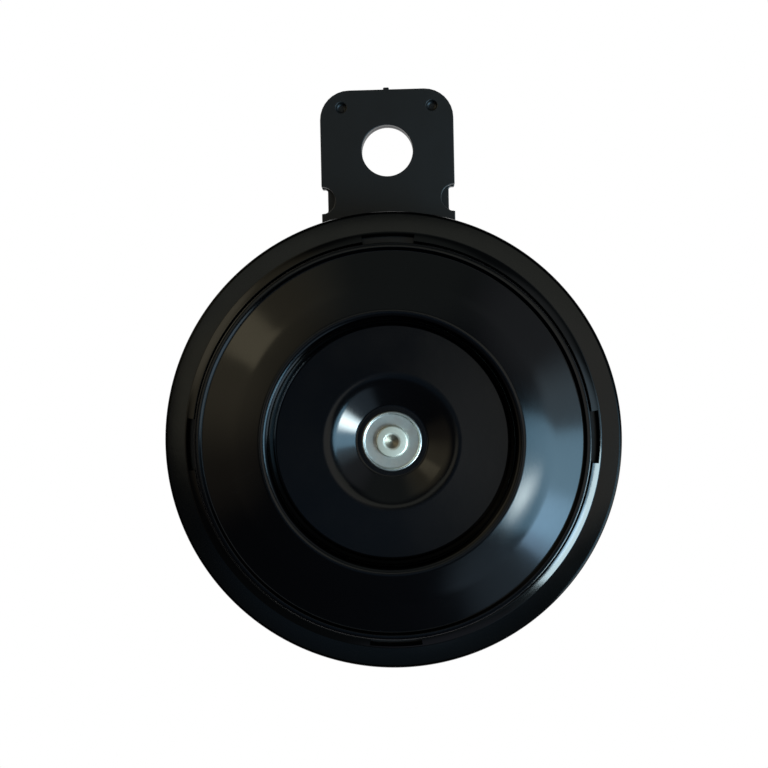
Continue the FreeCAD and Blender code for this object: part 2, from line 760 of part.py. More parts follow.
def build_contact_lead():
    """Lead wire round the chamber, from under the fixed arm's ear to the right terminal's rivet."""
    rivet_front = shoulder_front + size("inner_block_thickness") + size("terminal_rivet_head_height")
    wire = (arm_rear - rivet_front) / 2
    body = new_body("contact_lead")
    profile = new_sketch(body, "XZ_Plane")
    add_circle(profile, shoulder_middle, arm_rear - wire, wire)
    swing_sketch(profile, size("terminal_angle") - QUARTER_TURN)
    across, up = adjuster_centre()
    ear_angle = Length(math.degrees(math.atan2(up.number, across.number)),
                       f"atan({up.formula} / {across.formula}) / 1 deg")
    add_feature(body, "Revolution", profile, Angle=QUARTER_TURN - ear_angle - size("terminal_angle"))


def build_adjuster():
    """Slotted screw that sets the fixed contact, in a nut pressed into the housing's shoulder."""
    across, offset = adjuster_centre()
    nut = new_body("adjusting_screw_nut")
    pad_circles(nut, [(across, offset, size("adjuster_nut_radius"))], shoulder_front,
                size("adjuster_nut_height"))
    pocket_circles(nut, [(across, offset, size("adjuster_radius"))],
                   shoulder_front + size("adjuster_nut_height"), size("adjuster_nut_height"))
    screw = new_body("adjusting_screw")
    tail = shoulder_rear - size("adjuster_tail")
    pad_circles(screw, [(across, offset, size("adjuster_radius"))], tail, arm_rear - tail)
    slot = size("adjuster_slot")
    pocket_outline(screw, box_outline(across, offset, size("adjuster_radius") * 3, slot),
                   tail + slot, slot)


def build_terminals():
    """Two blade terminals riveted through a moulded block on the housing's shoulder."""
    middle = shoulder_middle
    half = (shoulder_flat - size("terminal_block_margin")) / 2
    rivet_hole = size("terminal_rivet_radius")
    sleeve = size("terminal_sleeve_radius")
    centres = [terminal_centre(side) for side in (-1, 1)]
    block_angle = size("terminal_block_angle")
    for name, rear, thickness in (
            ("terminal_outer_block", shoulder_rear - size("outer_block_thickness"),
             size("outer_block_thickness")),
            ("terminal_inner_block", shoulder_front, size("inner_block_thickness"))):
        body = new_body(name)
        profile = new_sketch(body, "XZ_Plane")
        add_outline(profile, [(middle - half, rear), (middle + half, rear),
                              (middle + half, rear + thickness), (middle - half, rear + thickness)])
        swing_sketch(profile, -QUARTER_TURN - block_angle / 2)
        add_feature(body, "Revolution", profile, Angle=block_angle)
        if name == "terminal_outer_block":
            pad_circles(body, [(*place, sleeve) for place in centres], shoulder_rear,
                        size("housing_sheet"))
        top = rear + thickness + size("housing_sheet")
        pocket_circles(body, [(*place, rivet_hole) for place in centres], top, top - rear)
    foot_front = shoulder_rear - size("outer_block_thickness")
    foot_rear = foot_front - size("blade_sheet")
    foot_outer = middle + size("terminal_foot_outer")
    tip = size("blade_tip_chamfer")
    half_blade = size("blade_width") / 2
    bend = size("blade_bend") + size("blade_sheet")
    blade_end = foot_rear - size("blade_length")
    for name, side in (("terminal_left", -1), ("terminal_right", 1)):
        body = new_body(name, turned_by=side * float(sheet.get("terminal_angle")))
        profile = new_sketch(body, "YZ_Plane", -size("blade_width") / 2)
        add_sheet(profile, [
            (-foot_outer, blade_end),
            (-foot_outer, foot_front, bend),
            (-(middle - size("terminal_foot_inner")), foot_front)], size("blade_sheet"))
        add_feature(body, "Pad", profile, Length=size("blade_width"))
        pocket_circles(body, [(ZERO, -middle, rivet_hole)], foot_front, size("blade_sheet"))
        cuts = new_sketch(body, "XZ_Plane", foot_outer)
        add_circle(cuts, ZERO, blade_end + size("blade_hole_distance"), size("blade_hole_radius"))
        add_outline(cuts, [(-half_blade, blade_end), (-half_blade + tip, blade_end),
                           (-half_blade, blade_end + tip)])
        add_outline(cuts, [(half_blade, blade_end), (half_blade, blade_end + tip),
                           (half_blade - tip, blade_end)])
        add_feature(body, "Pocket", cuts, cuts=True, Length=size("blade_sheet"))
    head = size("terminal_rivet_head")
    head_height = size("terminal_rivet_head_height")
    rivets = new_body("terminal_rivets")
    inner_front = shoulder_front + size("inner_block_thickness")
    pad_circles(rivets, [(*place, rivet_hole) for place in centres], foot_rear, inner_front - foot_rear)
    pad_circles(rivets, [(*place, head) for place in centres], inner_front, head_height)
    pad_circles(rivets, [(*place, head) for place in centres], foot_rear - head_height, head_height)


tab_front = -size("tab_setback")
bracket_rear = pot_rear - size("bracket_sheet") * 2
tab_top = axis_drop + size("tab_rise")


def bracket_path(depth, bend):
    """One face of the strip, from its tail up: depth is the way back from the strip's front face."""
    low, high = pot_rear, tab_front
    rise = size("bracket_joggle_rise")
    reach = high - low
    lean = (hypotenuse(rise, reach) - rise) / reach
    lower_bend = pot_radius + size("bracket_bend_clearance") + depth * lean
    return [(-size("bracket_tail"), low - depth),
            (lower_bend, low - depth, bend + depth),
            (lower_bend + rise, high - depth, bend + size("bracket_sheet") * 2 - depth),
            (tab_top, high - depth)]


def build_bracket_leaf(name, depth, front_plane):
    """One leaf of the strip with its holes, tail corners and tab corners."""
    width = size("bracket_width")
    body = new_body(name)
    sketch = new_sketch(body, "YZ_Plane", -width / 2)
    add_sheet(sketch, bracket_path(depth, size("bracket_bend_radius")), size("bracket_sheet"))
    add_feature(body, "Pad", sketch, Length=width)
    through = size("bracket_sheet") * 2
    pocket_circles(body, [(ZERO, ZERO, size("rear_stud_radius") + size("bracket_stud_clearance"))],
                   pot_rear - depth + size("bracket_sheet") / 2, through)
    pocket_circles(body, [(ZERO, axis_drop, size("bolt_hole_radius"))],
                   front_plane + size("bracket_sheet") / 2, through)
    for radius, height in (("tab_corner", tab_top), ("bracket_tail_corner", -size("bracket_tail"))):
        round_corners(body, height, width, size(radius))
    return body


def round_corners(body, height, width, radius):
    """Rounds the two corners of the strip at one of its ends."""
    document.recompute()
    names = []
    for index, edge in enumerate(body.Shape.Edges, start=1):
        ends = [body.Placement.inverse().multVec(vertex.Point) for vertex in edge.Vertexes]
        at_corner = all(abs(point.y - height.number) < 0.001
                        and abs(abs(point.x) - width.number / 2) < 0.001 for point in ends)
        if len(ends) == 2 and at_corner and abs(ends[0].x - ends[1].x) < 0.001:
            names.append(f"Edge{index}")
    base = body.Tip
    fillet = body.newObject("PartDesign::Fillet", f"{body.Label}_corners")
    fillet.Base = (base, names)
    fillet.Radius = radius.number
    fillet.setExpression("Radius", radius.formula)
    document.recompute()


def build_bracket():
    """Two nested leaves of spring strip, joggled forward behind the rim and clinched at the tab."""
    leaf = size("bracket_sheet")
    half_width = size("bracket_width") / 2
    clinches = [(size("clinch_across") * side, axis_drop + size("clinch_up")) for side in (-1, 1)]
    neck = axis_drop - size("neck_drop")
    through = leaf * 2

    front = build_bracket_leaf("bracket_front_leaf", ZERO, tab_front)
    pocket_circles(front, [(half_width * side, neck, size("front_neck_radius")) for side in (-1, 1)],
                   tab_front + leaf / 2, through)
    pad_circles(front, [(*place, size("clinch_radius")) for place in clinches],
                tab_front - leaf - size("clinch_depth"), size("clinch_depth"))
    pocket_circles(front, [(*place, size("clinch_radius") - size("clinch_wall")) for place in clinches],
                   tab_front, size("clinch_depth"))
    nib_half = size("nib_width") / 2
    pad_outline(front, [(-nib_half, tab_top - leaf), (nib_half, tab_top - leaf),
                        (nib_half, tab_top + size("nib_height"), size("nib_corner")),
                        (-nib_half, tab_top + size("nib_height"), size("nib_corner"))],
                tab_front - leaf, leaf)

    rear = build_bracket_leaf("bracket_rear_leaf", leaf, tab_front - leaf)
    corner = size("neck_corner")
    rise = size("neck_half_height")
    for side in (-1, 1):
        outside = (half_width + leaf) * side
        edge = half_width * side
        root = (half_width - size("rear_neck_depth")) * side
        slope = size("rear_neck_depth")
        pocket_outline(rear, [
            (outside, neck - rise), (edge, neck - rise, corner), (root, neck - rise + slope, corner),
            (root, neck + rise - slope, corner), (edge, neck + rise, corner), (outside, neck + rise)],
            tab_front - leaf / 2, through)
    pad_circles(rear, [(*place, size("clinch_button_radius")) for place in clinches],
                tab_front - leaf * 2 - size("clinch_button_height"), size("clinch_button_height"))
    pocket_circles(rear, [(*place, size("clinch_radius")) for place in clinches],
                   tab_front - leaf, size("clinch_depth"))


def build_fastening():
    """Split lock washer and hexagon nut on the rear stud."""
    bore = size("rear_stud_radius")
    washer_rear = bracket_rear - size("lock_washer_thickness")
    turned("stud_lock_washer", [
        (bore + size("bracket_stud_clearance"), washer_rear), (size("lock_washer_radius"), washer_rear),
        (size("lock_washer_radius"), bracket_rear),
        (bore + size("bracket_stud_clearance"), bracket_rear)],
        angle=size("lock_washer_turn"))
    nut = new_body("stud_nut")
    corner = size("nut_across_flats") / math.sqrt(3)
    nut_rear = washer_rear - size("nut_height")
    corners = [(corner * math.cos(math.radians(60 * step)), corner * math.sin(math.radians(60 * step)))
               for step in range(6)]
    pad_outline(nut, corners, nut_rear, size("nut_height"))
    pocket_circles(nut, [(ZERO, ZERO, bore)], washer_rear, size("nut_height"))
    cutter = new_sketch(nut, "XZ_Plane")
    chamfer = size("nut_chamfer")
    flat = size("nut_across_flats") / 2
    add_outline(cutter, [(flat, nut_rear), (corner + chamfer, nut_rear),
                         (corner + chamfer, nut_rear + chamfer)])
    add_feature(nut, "Groove", cutter, cuts=True, Angle=FULL_TURN)


def check_and_write():
    """Stops on any failed object or broken solid, then writes every piece to its own file."""
    document.recompute()
    for item in document.Objects:
        if "Invalid" in item.State or "Error" in item.State:
            raise RuntimeError(f"{item.Label} is in state {item.State}")
    os.makedirs("parts", exist_ok=True)
    for body in document.Objects:
        if body.TypeId != "PartDesign::Body":
            continue
        shape = body.Shape
        if shape.isNull() or not shape.isValid() or not shape.Solids:
            raise RuntimeError(f"{body.Label} has no valid solid")
        shape.exportStep(f"parts/{body.Label}.step")
        print(f"{body.Label}: {len(shape.Solids)} solid, {shape.Volume:.1f} mm3")


build_clamp_ring()
build_stack()
build_housing()
build_tone_disc()
build_hub()
build_magnet()
build_breaker()
build_contact_lead()
build_adjuster()
build_terminals()
build_bracket()
build_fastening()
check_and_write()
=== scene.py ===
import math

import bmesh
import bpy
from mathutils import Matrix, Vector


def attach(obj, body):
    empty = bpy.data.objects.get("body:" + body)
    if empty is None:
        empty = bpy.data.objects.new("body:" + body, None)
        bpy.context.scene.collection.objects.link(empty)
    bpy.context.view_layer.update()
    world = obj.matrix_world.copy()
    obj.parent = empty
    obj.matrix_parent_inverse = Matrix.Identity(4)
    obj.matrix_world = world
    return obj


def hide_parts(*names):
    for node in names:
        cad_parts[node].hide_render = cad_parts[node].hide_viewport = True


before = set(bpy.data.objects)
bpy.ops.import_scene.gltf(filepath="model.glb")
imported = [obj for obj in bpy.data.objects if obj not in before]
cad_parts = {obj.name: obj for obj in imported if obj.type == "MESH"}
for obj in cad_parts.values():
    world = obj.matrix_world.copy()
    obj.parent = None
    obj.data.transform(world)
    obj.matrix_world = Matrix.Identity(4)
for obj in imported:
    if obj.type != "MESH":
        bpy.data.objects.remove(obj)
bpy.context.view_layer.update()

# Crimped ring. The real one is thin sheet steel, pressed with a raised lip round its bore and four
# notches, laid over the diaphragm and folded in behind the housing's flange to clamp the whole front.
# It carries a thin gloss black paint, which looks slightly brown in warm light.

# every turned piece is drawn by radius and by distance forward of this ring's face, in millimetres
axis_height = -58.9
ring_face = -13.0


def horn_point(radius, turn, forward, centre=(0.0, 0.0)):
    """A point about the horn's axis, or about a line beside it, as a place in the row frame."""
    across = centre[0] + radius * math.cos(turn)
    up = centre[1] + radius * math.sin(turn)
    return Vector((across, ring_face - forward, axis_height + up)) / 1000


def rounded_path(corners, closed=False, bend_steps=8):
    """Points of a path with its direction at each; a corner is (across, along) or has a bend radius."""
    places = [Vector(corner[:2]) for corner in corners]
    path = []
    for index, corner in enumerate(corners):
        here = places[index]
        before = places[index - 1] if closed or index > 0 else None
        after = places[(index + 1) % len(corners)] if closed or index + 1 < len(corners) else None
        arriving = (here - before).normalized() if before else (after - here).normalized()
        leaving = (after - here).normalized() if after else arriving
        if len(corner) < 3:
            path.append((here, leaving))
            continue
        turn = math.atan2(arriving.cross(leaving), arriving.dot(leaving))
        radius = math.copysign(corner[2], turn)
        first = here - arriving * corner[2] * math.tan(abs(turn) / 2)
        hub = first + arriving.orthogonal() * radius
        for step in range(bend_steps + 1):
            heading = arriving.copy()
            heading.rotate(Matrix.Rotation(turn * step / bend_steps, 2))
            path.append((hub - heading.orthogonal() * radius, heading))
    return path


def sheet_pairs(path, thickness, edge):
    """Both faces of a bent sheet, point against point, with its two cut edges slightly rounded."""
    pairs = []

    def add_pair(place, heading, inset):
        away = -heading.orthogonal()
        pairs.append((place + away * inset, place + away * (thickness - inset)))

    rounds = [(edge * (1 - math.cos(angle)), edge * (1 - math.sin(angle)))
              for angle in (math.radians(step * 30) for step in range(4))]
    first, heading = path[0]
    for along, inset in rounds:
        add_pair(first + heading * along, heading, inset)
    for place, heading in path[1:-1]:
        add_pair(place, heading, 0.0)
    last, heading = path[-1]
    for along, inset in reversed(rounds):
        add_pair(last - heading * along, heading, inset)
    return pairs


def loop_of(pairs):
    """The closed outline of a sheet's section."""
    return [front for front, _ in pairs] + [rear for _, rear in reversed(pairs)]


def mesh_from(name, build):
    """A mesh made by a function that fills a bmesh; doubled points are joined and faces turned out."""
    shape = bmesh.new()
    build(shape)
    same_place, no_length = 1e-6, 1e-7
    bmesh.ops.remove_doubles(shape, verts=shape.verts, dist=same_place)
    bmesh.ops.dissolve_degenerate(shape, edges=shape.edges, dist=no_length)
    bmesh.ops.recalc_face_normals(shape, faces=shape.faces)
    mesh = bpy.data.meshes.new(name)
    shape.to_mesh(mesh)
    shape.free()
    return mesh


def add_piece(name, mesh, material, slot, *nodes, smooth_below=32.0):
    """Puts a finished piece in the scene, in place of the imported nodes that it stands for."""
    piece = bpy.data.objects.new(name, mesh)
    bpy.context.scene.collection.objects.link(piece)
    mesh.materials.append(material)
    mesh.polygons.foreach_set("use_smooth", [True] * len(mesh.polygons))
    mesh.set_sharp_from_angle(angle=math.radians(smooth_below))
    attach(piece, "root")
    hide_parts(*nodes)


def add_shader(tree, kind, inputs=(), **settings):
    """A shader node with its sockets set, each to a value or to the output that feeds it."""
    node = tree.nodes.new(kind)
    for key, value in settings.items():
        setattr(node, key, value)
    for key, value in dict(inputs).items():
        if isinstance(value, bpy.types.NodeSocket):
            tree.links.new(value, node.inputs[key])
        else:
            node.inputs[key].default_value = value
    return node


def math_step(tree, operation, *values, clamp=False):
    """One step of arithmetic in a shader, on numbers or on what other nodes give."""
    return add_shader(tree, "ShaderNodeMath", dict(enumerate(values)), operation=operation,
                      use_clamp=clamp).outputs[0]


def vector_step(tree, operation, *values):
    """One step of arithmetic on places or directions; a length or a dot product gives a number."""
    node = add_shader(tree, "ShaderNodeVectorMath", dict(enumerate(values)), operation=operation)
    return node.outputs["Value" if operation in ("LENGTH", "DOT_PRODUCT") else "Vector"]


def soft_step(tree, value, start, full):
    """Rises smoothly from 0 to 1 between two values."""
    return add_shader(tree, "ShaderNodeMapRange", {"Value": value, "From Min": start, "From Max": full},
                      interpolation_type="SMOOTHSTEP").outputs[0]


def surface_place(tree):
    """The place on a piece that a pattern is drawn by, in metres."""
    return add_shader(tree, "ShaderNodeTexCoord").outputs["Object"]


def noise_cloud(tree, place, scale, detail, roughness=0.5):
    """A cloud of noise from 0 to 1, most of it near the middle."""
    return add_shader(tree, "ShaderNodeTexNoise", {"Vector": place, "Scale": scale, "Detail": detail,
                                                   "Roughness": roughness}).outputs["Fac"]


def add_relief(tree, surface, depth, height, strength=1.0):
    """Fine relief of the skin: how deep it is, in metres, and the pattern that it follows."""
    bump = add_shader(tree, "ShaderNodeBump", {"Strength": strength, "Distance": depth, "Height": height})
    tree.links.new(bump.outputs["Normal"], surface.inputs["Normal"])


def effect_group(name, inputs, outputs):
    """An effect that several finishes share, with named values in and named masks or heights out."""
    group = bpy.data.node_groups.new(name, "ShaderNodeTree")
    for label, value in inputs.items():
        socket = group.interface.new_socket(label, in_out="INPUT", socket_type="NodeSocketFloat")
        socket.default_value = value
    for label in outputs:
        group.interface.new_socket(label, in_out="OUTPUT", socket_type="NodeSocketFloat")
    return group, group.nodes.new("NodeGroupInput"), group.nodes.new("NodeGroupOutput")


def use_effect(tree, group, **inputs):
    """One shared effect placed in a material, with that material's own values."""
    node = add_shader(tree, "ShaderNodeGroup", node_tree=group)
    for label, value in inputs.items():
        node.inputs[label.replace("_", " ")].default_value = value
    return node


def build_paint_skin():
    """Baked paint's skin: fine orange peel over a slow unevenness, and the gloss that goes with it."""
    group, given, result = effect_group(
        "paint_skin", {"Peel size": 0.0012, "Slow size": 0.012}, ("Height", "Gloss cloud"))
    place = surface_place(group)
    peel_scale = math_step(group, "DIVIDE", 1.0, given.outputs["Peel size"])
    slow_scale = math_step(group, "DIVIDE", 1.0, given.outputs["Slow size"])
    peel = noise_cloud(group, place, peel_scale, detail=2.0, roughness=0.45)
    slow = noise_cloud(group, place, slow_scale, detail=3.0, roughness=0.6)
    slow_share = 3.0
    group.links.new(math_step(group, "MULTIPLY_ADD", slow, slow_share, peel), result.inputs["Height"])
    group.links.new(slow, result.inputs["Gloss cloud"])
    return group


def build_dust_specks():
    """Specks of dust and lint: small round grains in a few cells of a scattered grid."""
    group, given, result = effect_group(
        "dust_specks", {"Spacing": 0.003, "Grain": 0.05, "Share": 0.1}, ("Mask",))
    scale = math_step(group, "DIVIDE", 1.0, given.outputs["Spacing"])
    cells = add_shader(group, "ShaderNodeTexVoronoi", {"Vector": surface_place(group), "Scale": scale})
    draw = add_shader(group, "ShaderNodeSeparateColor", {"Color": cells.outputs["Color"]})
    chosen = math_step(group, "LESS_THAN", draw.outputs["Red"], given.outputs["Share"])
    size = math_step(group, "MULTIPLY", draw.outputs["Green"], given.outputs["Grain"])
    grain = math_step(group, "LESS_THAN", cells.outputs["Distance"], size)
    group.links.new(math_step(group, "MULTIPLY", chosen, grain), result.inputs["Mask"])
    return group


def build_hair_scratches():
    """Hairline rubs: thin lines where a stretched noise crosses its middle, faded by a second noise."""
    group, given, result = effect_group(
        "hair_scratches", {"Length": 0.02, "Width": 0.0004, "Share": 0.2}, ("Mask",))
    place = surface_place(group)
    rub_turn = (0.3, math.radians(33), 0.5)
    line_share, line_reach, noise_middle, patch_limit = 0.1, 0.012, 0.5, 0.75
    turned = add_shader(group, "ShaderNodeMapping", {"Vector": place, "Rotation": rub_turn})
    long_scale = math_step(group, "DIVIDE", 1.0, given.outputs["Length"])
    fine_scale = math_step(group, "DIVIDE", line_share, given.outputs["Width"])
    stretch = add_shader(group, "ShaderNodeCombineXYZ", {"X": long_scale, "Y": fine_scale, "Z": fine_scale})
    stretched = vector_step(group, "MULTIPLY", turned.outputs[0], stretch.outputs[0])
    lines = noise_cloud(group, stretched, 1.0, detail=0.0)
    from_middle = math_step(group, "ABSOLUTE", math_step(group, "SUBTRACT", lines, noise_middle))
    thin = add_shader(group, "ShaderNodeMapRange",
                      {"Value": from_middle, "From Min": line_reach, "From Max": 0.0})
    patches = noise_cloud(group, place, long_scale, detail=1.0)
    limit = math_step(group, "SUBTRACT", patch_limit, given.outputs["Share"])
    shown = math_step(group, "GREATER_THAN", patches, limit)
    group.links.new(math_step(group, "MULTIPLY", thin.outputs[0], shown), result.inputs["Mask"])
    return group


paint_skin = build_paint_skin()
dust_specks = build_dust_specks()
hair_scratches = build_hair_scratches()


def mixed_color(tree, mask, plain, marked):
    """Two colours mixed by a mask; either colour may itself be the output of a node."""
    mix = add_shader(tree, "ShaderNodeMix", data_type="RGBA")
    tree.links.new(mask, mix.inputs["Factor"])
    for socket, value in ((mix.inputs[6], plain), (mix.inputs[7], marked)):
        if isinstance(value, bpy.types.NodeSocket):
            tree.links.new(value, socket)
        else:
            socket.default_value = (*value, 1.0)
    return mix.outputs[2]


def spread(tree, value, low, high):
    """The middle of a cloud, where most of it lies, laid out between two limits."""
    return add_shader(tree, "ShaderNodeMapRange", {"Value": value, "From Min": 0.3, "From Max": 0.7,
                                                   "To Min": low, "To Max": high}).outputs[0]


def new_finish(name):
    """An empty material with its surface shader."""
    material = bpy.data.materials.new(name)
    material.use_nodes = True
    tree = material.node_tree
    return material, tree, tree.nodes["Principled BSDF"]


def black_paint(name, color, roughness, peel, relief, dust):
    """Black paint: its colour, its gloss from smoothest to dullest, its orange peel and its dust."""
    material, tree, surface = new_finish(name)
    skin = use_effect(tree, paint_skin, Peel_size=peel)
    specks = use_effect(tree, dust_specks, **dust).outputs["Mask"]
    rubs = use_effect(tree, hair_scratches, Share=0.03).outputs["Mask"]
    dust_tone, rub_gain, rub_tone = 0.06, 1.3, 0.0008
    rub_dulling, speck_dulling = 0.05, 0.5
    dusty = tuple(dust_tone + channel for channel in color)
    rubbed = tuple(channel * rub_gain + rub_tone for channel in color)
    worn = mixed_color(tree, rubs, color, rubbed)
    tree.links.new(mixed_color(tree, specks, worn, dusty), surface.inputs["Base Color"])
    gloss = spread(tree, skin.outputs["Gloss cloud"], *roughness)
    dulled = math_step(tree, "MULTIPLY_ADD", rubs, rub_dulling, gloss)
    flecked = math_step(tree, "MULTIPLY_ADD", specks, speck_dulling, dulled, clamp=True)
    tree.links.new(flecked, surface.inputs["Roughness"])
    add_relief(tree, surface, relief, skin.outputs["Height"])
    return material


def build_round_band():
    """A band round the horn's axis, between two radii, with soft edges."""
    group, given, result = effect_group(
        "round_band", {"Inner": 0.01, "Outer": 0.02, "Softness": 0.0002}, ("Mask",))
    from_axis = vector_step(group, "SUBTRACT", surface_place(group), (0.0, 0.0, axis_height / 1000))
    across_axis = vector_step(group, "MULTIPLY", from_axis, (1.0, 0.0, 1.0))
    radius = vector_step(group, "LENGTH", across_axis)
    past_inner = math_step(group, "SUBTRACT", radius, given.outputs["Inner"])
    before_outer = math_step(group, "SUBTRACT", given.outputs["Outer"], radius)
    inside = math_step(group, "MINIMUM", past_inner, before_outer)
    mask = soft_step(group, inside, 0.0, given.outputs["Softness"])
    group.links.new(mask, result.inputs["Mask"])
    return group


round_band = build_round_band()
light_dust = {"Spacing": 0.004, "Grain": 0.04, "Share": 0.08}


def painted_shade_bands(material, bands, shade_strength):
    """Painted shade: bands round the axis where black paint mirrors nothing, so that they render black in
    place of their reflections.
    """
    tree = material.node_tree
    dull = 0.0
    for inner, outer in bands:
        mask = use_effect(tree, round_band, Inner=inner, Outer=outer).outputs["Mask"]
        dull = math_step(tree, "MAXIMUM", dull, mask)
    # a metal mirrors only in its own colour, so a black one shows no mirror image
    lost = math_step(tree, "MULTIPLY", dull, shade_strength)
    tree.links.new(lost, tree.nodes["Principled BSDF"].inputs["Metallic"])


ring_paint = black_paint("ring_paint", (0.0018, 0.0018, 0.0017), roughness=(0.11, 0.16), peel=0.0009,
                         relief=0.000003, dust=light_dust)
ring_outer_bend = (0.0443, 0.0449)
# painted shade: the ring's outer bend renders black, without its highlight
painted_shade_bands(ring_paint, (ring_outer_bend,), shade_strength=0.9)

ring_sheet = 0.9
lip_tip = (39.2, 0.95)
notch_root = (40.6, 0.168)
notch_half_length = 5.2
notch_turns = [math.radians(90 * quarter) for quarter in range(4)]
ring_path = rounded_path(
    [lip_tip, notch_root, (40.9, 0.0, 0.4), (45.0, 0.0, 0.7), (45.0, -4.2, 1.3), (41.8, -4.2)])
ring_section = sheet_pairs(ring_path, ring_sheet, edge=0.2)
root_index = next(index for index, (front, _) in enumerate(ring_section)
                  if front.x >= notch_root[0] - 0.001)


def build_clamp_ring(shape):
    """The ring's section carried round the axis, with its lip left out along each notch."""
    half_angle = math.asin(notch_half_length / notch_root[0])
    steps_in_notch, steps_between = 12, 52
    stations = []
    for notch in notch_turns:
        for step in range(steps_in_notch):
            stations.append((notch - half_angle + 2 * half_angle * step / steps_in_notch, True))
        free = math.radians(90) - 2 * half_angle
        for step in range(steps_between):
            stations.append((notch + half_angle + free * step / steps_between, False))
    columns = []
    for turn, _ in stations:
        column = []
        for front, rear in ring_section:
            column.append([shape.verts.new(horn_point(radius, turn, forward))
                           for radius, forward in (front, rear)])
        columns.append(column)
    last = len(ring_section) - 1
    for index, (_, in_notch) in enumerate(stations):
        here, there = columns[index], columns[(index + 1) % len(columns)]
        start = root_index if in_notch else 0
        for step in range(start, last):
            for face in (0, 1):
                shape.faces.new((here[step][face], here[step + 1][face],
                                 there[step + 1][face], there[step][face]))
        for end in (start, last):
            shape.faces.new((here[end][0], here[end][1], there[end][1], there[end][0]))
        if in_notch != stations[index - 1][1]:
            for step in range(root_index):
                shape.faces.new((here[step][0], here[step + 1][0], here[step + 1][1], here[step][1]))


add_piece("crimped_ring", mesh_from("crimped_ring", build_clamp_ring), ring_paint, "ring_paint",
          "clamp_ring")

# Tone disc. The real one is a steel blank pressed in one stroke: an upturned edge, a coned annulus that
# rises to a rounded crown, a recessed floor and a funnel down to the hub. It rings against the diaphragm,
# and its gloss black enamel mirrors the room.
disc_sheet = 1.0
disc_path = rounded_path(
    [(2.55, 0.8), (7.05, 0.8, 1.6), (12.1, 3.0, 7.5), (22.8, 3.0, 0.35), (23.4, 7.6, 2.0),
     (30.3, 5.8, 24.0), (36.9, 3.35, 0.4), (37.45, 3.8, 0.4), (38.4, 3.8)], bend_steps=12)


def turned_rows(shape, outline, columns, centre=(0.0, 0.0)):
    """An outline of radius and forward distance, set round the horn's axis or a line beside it."""
    return [[shape.verts.new(horn_point(radius, math.tau * column / columns, forward, centre))
             for radius, forward in outline] for column in range(columns)]


def skin_rows(shape, rows, full_turn=True):
    """Faces between neighbouring rows of points: right round, or part of a turn with both ends closed."""
    for row, after in zip(rows, rows[1:] + rows[:1] if full_turn else rows[1:]):
        for step in range(len(row)):
            following = (step + 1) % len(row)
            shape.faces.new((row[step], row[following], after[following], after[step]))
    if not full_turn:
        shape.faces.new(rows[0])
        shape.faces.new(list(reversed(rows[-1])))


def turned_mesh(name, outline, columns=224):
    """A closed outline of radius and forward distance, turned about the horn's axis."""
    def build(shape):
        skin_rows(shape, turned_rows(shape, outline, columns))
    return mesh_from(name, build)


disc_enamel = black_paint("disc_enamel", (0.0012, 0.0012, 0.0015), roughness=(0.12, 0.17), peel=0.0016,
                          relief=0.000002, dust={"Spacing": 0.0045, "Grain": 0.045, "Share": 0.06})
recess_corner, rim_land = (0.0223, 0.0243), (0.03685, 0.0376)
# painted shade: the recess corner and the land inside the rim render black, without their reflections
painted_shade_bands(disc_enamel, (recess_corner, rim_land), shade_strength=0.95)
disc_outline = loop_of(sheet_pairs(disc_path, disc_sheet, edge=0.25))
add_piece("pressed_tone_disc", turned_mesh("pressed_tone_disc", disc_outline, columns=288), disc_enamel,
          "disc_paint", "tone_disc")

# Hub washer and riveted stud end. The washer is zinc-plated steel with a rounded rim round a shallow
# dish. The armature's stud comes up through it and is swaged over in a press, which leaves a flat turned
# land and a punched cone in the middle.


def build_plating_cloud():
    """Zinc plating: soft blotches of tone, with a fine satin grain over them."""
    group, given, result = effect_group("plating_cloud", {"Blotch size": 0.002}, ("Cloud", "Grain"))
    place = surface_place(group)
    blotch_scale = math_step(group, "DIVIDE", 1.0, given.outputs["Blotch size"])
    grain_scale = 9000.0
    blotches = noise_cloud(group, place, blotch_scale, detail=4.0)
    group.links.new(blotches, result.inputs["Cloud"])
    group.links.new(noise_cloud(group, place, grain_scale, detail=2.0), result.inputs["Grain"])
    return group


plating_cloud = build_plating_cloud()


def plated_metal(name, bright, dull, roughness, blotch=0.002):
    """Plated or plain metal: its brighter and duller tones and its gloss from smoothest to dullest."""
    material, tree, surface = new_finish(name)
    plating = use_effect(tree, plating_cloud, Blotch_size=blotch)
    tone = spread(tree, plating.outputs["Cloud"], 0.0, 1.0)
    tree.links.new(mixed_color(tree, tone, bright, dull), surface.inputs["Base Color"])
    tree.links.new(spread(tree, plating.outputs["Cloud"], *roughness), surface.inputs["Roughness"])
    surface.inputs["Metallic"].default_value = 1.0
    grain_relief = 0.000002
    add_relief(tree, surface, grain_relief, plating.outputs["Grain"])
    return material


def rounded_outline(corners, **bends):
    """The points of a rounded path, without its directions."""
    return [place for place, _ in rounded_path(corners, **bends)]


zinc_plating = plated_metal("zinc_plating", (0.7, 0.7, 0.66), (0.48, 0.5, 0.48), roughness=(0.34, 0.46))
turned_zinc = plated_metal("turned_zinc", (0.8, 0.78, 0.68), (0.62, 0.62, 0.53), roughness=(0.5, 0.6))
washer_outline = rounded_outline(
    [(2.55, 0.8), (5.85, 0.8, 0.3), (5.85, 2.0, 0.28), (5.5, 1.98, 0.15), (5.25, 1.72, 0.3), (2.55, 1.65)],
    closed=True)
add_piece("hub_washer", turned_mesh("hub_washer", washer_outline, columns=160), zinc_plating,
          "zinc_plate", "tone_disc_washer")


def darker_middle(material, reach, darker_tone):
    """A darker, browner tone over a punched centre, out to its edge."""
    tree = material.node_tree
    surface = tree.nodes["Principled BSDF"]
    plain_tone = surface.inputs["Base Color"].links[0].from_socket
    # an inner edge short of the axis leaves the middle whole
    middle = use_effect(tree, round_band, Inner=-0.01, Outer=reach, Softness=0.0004)
    tree.links.new(mixed_color(tree, middle.outputs["Mask"], plain_tone, darker_tone), surface.inputs["Base Color"])
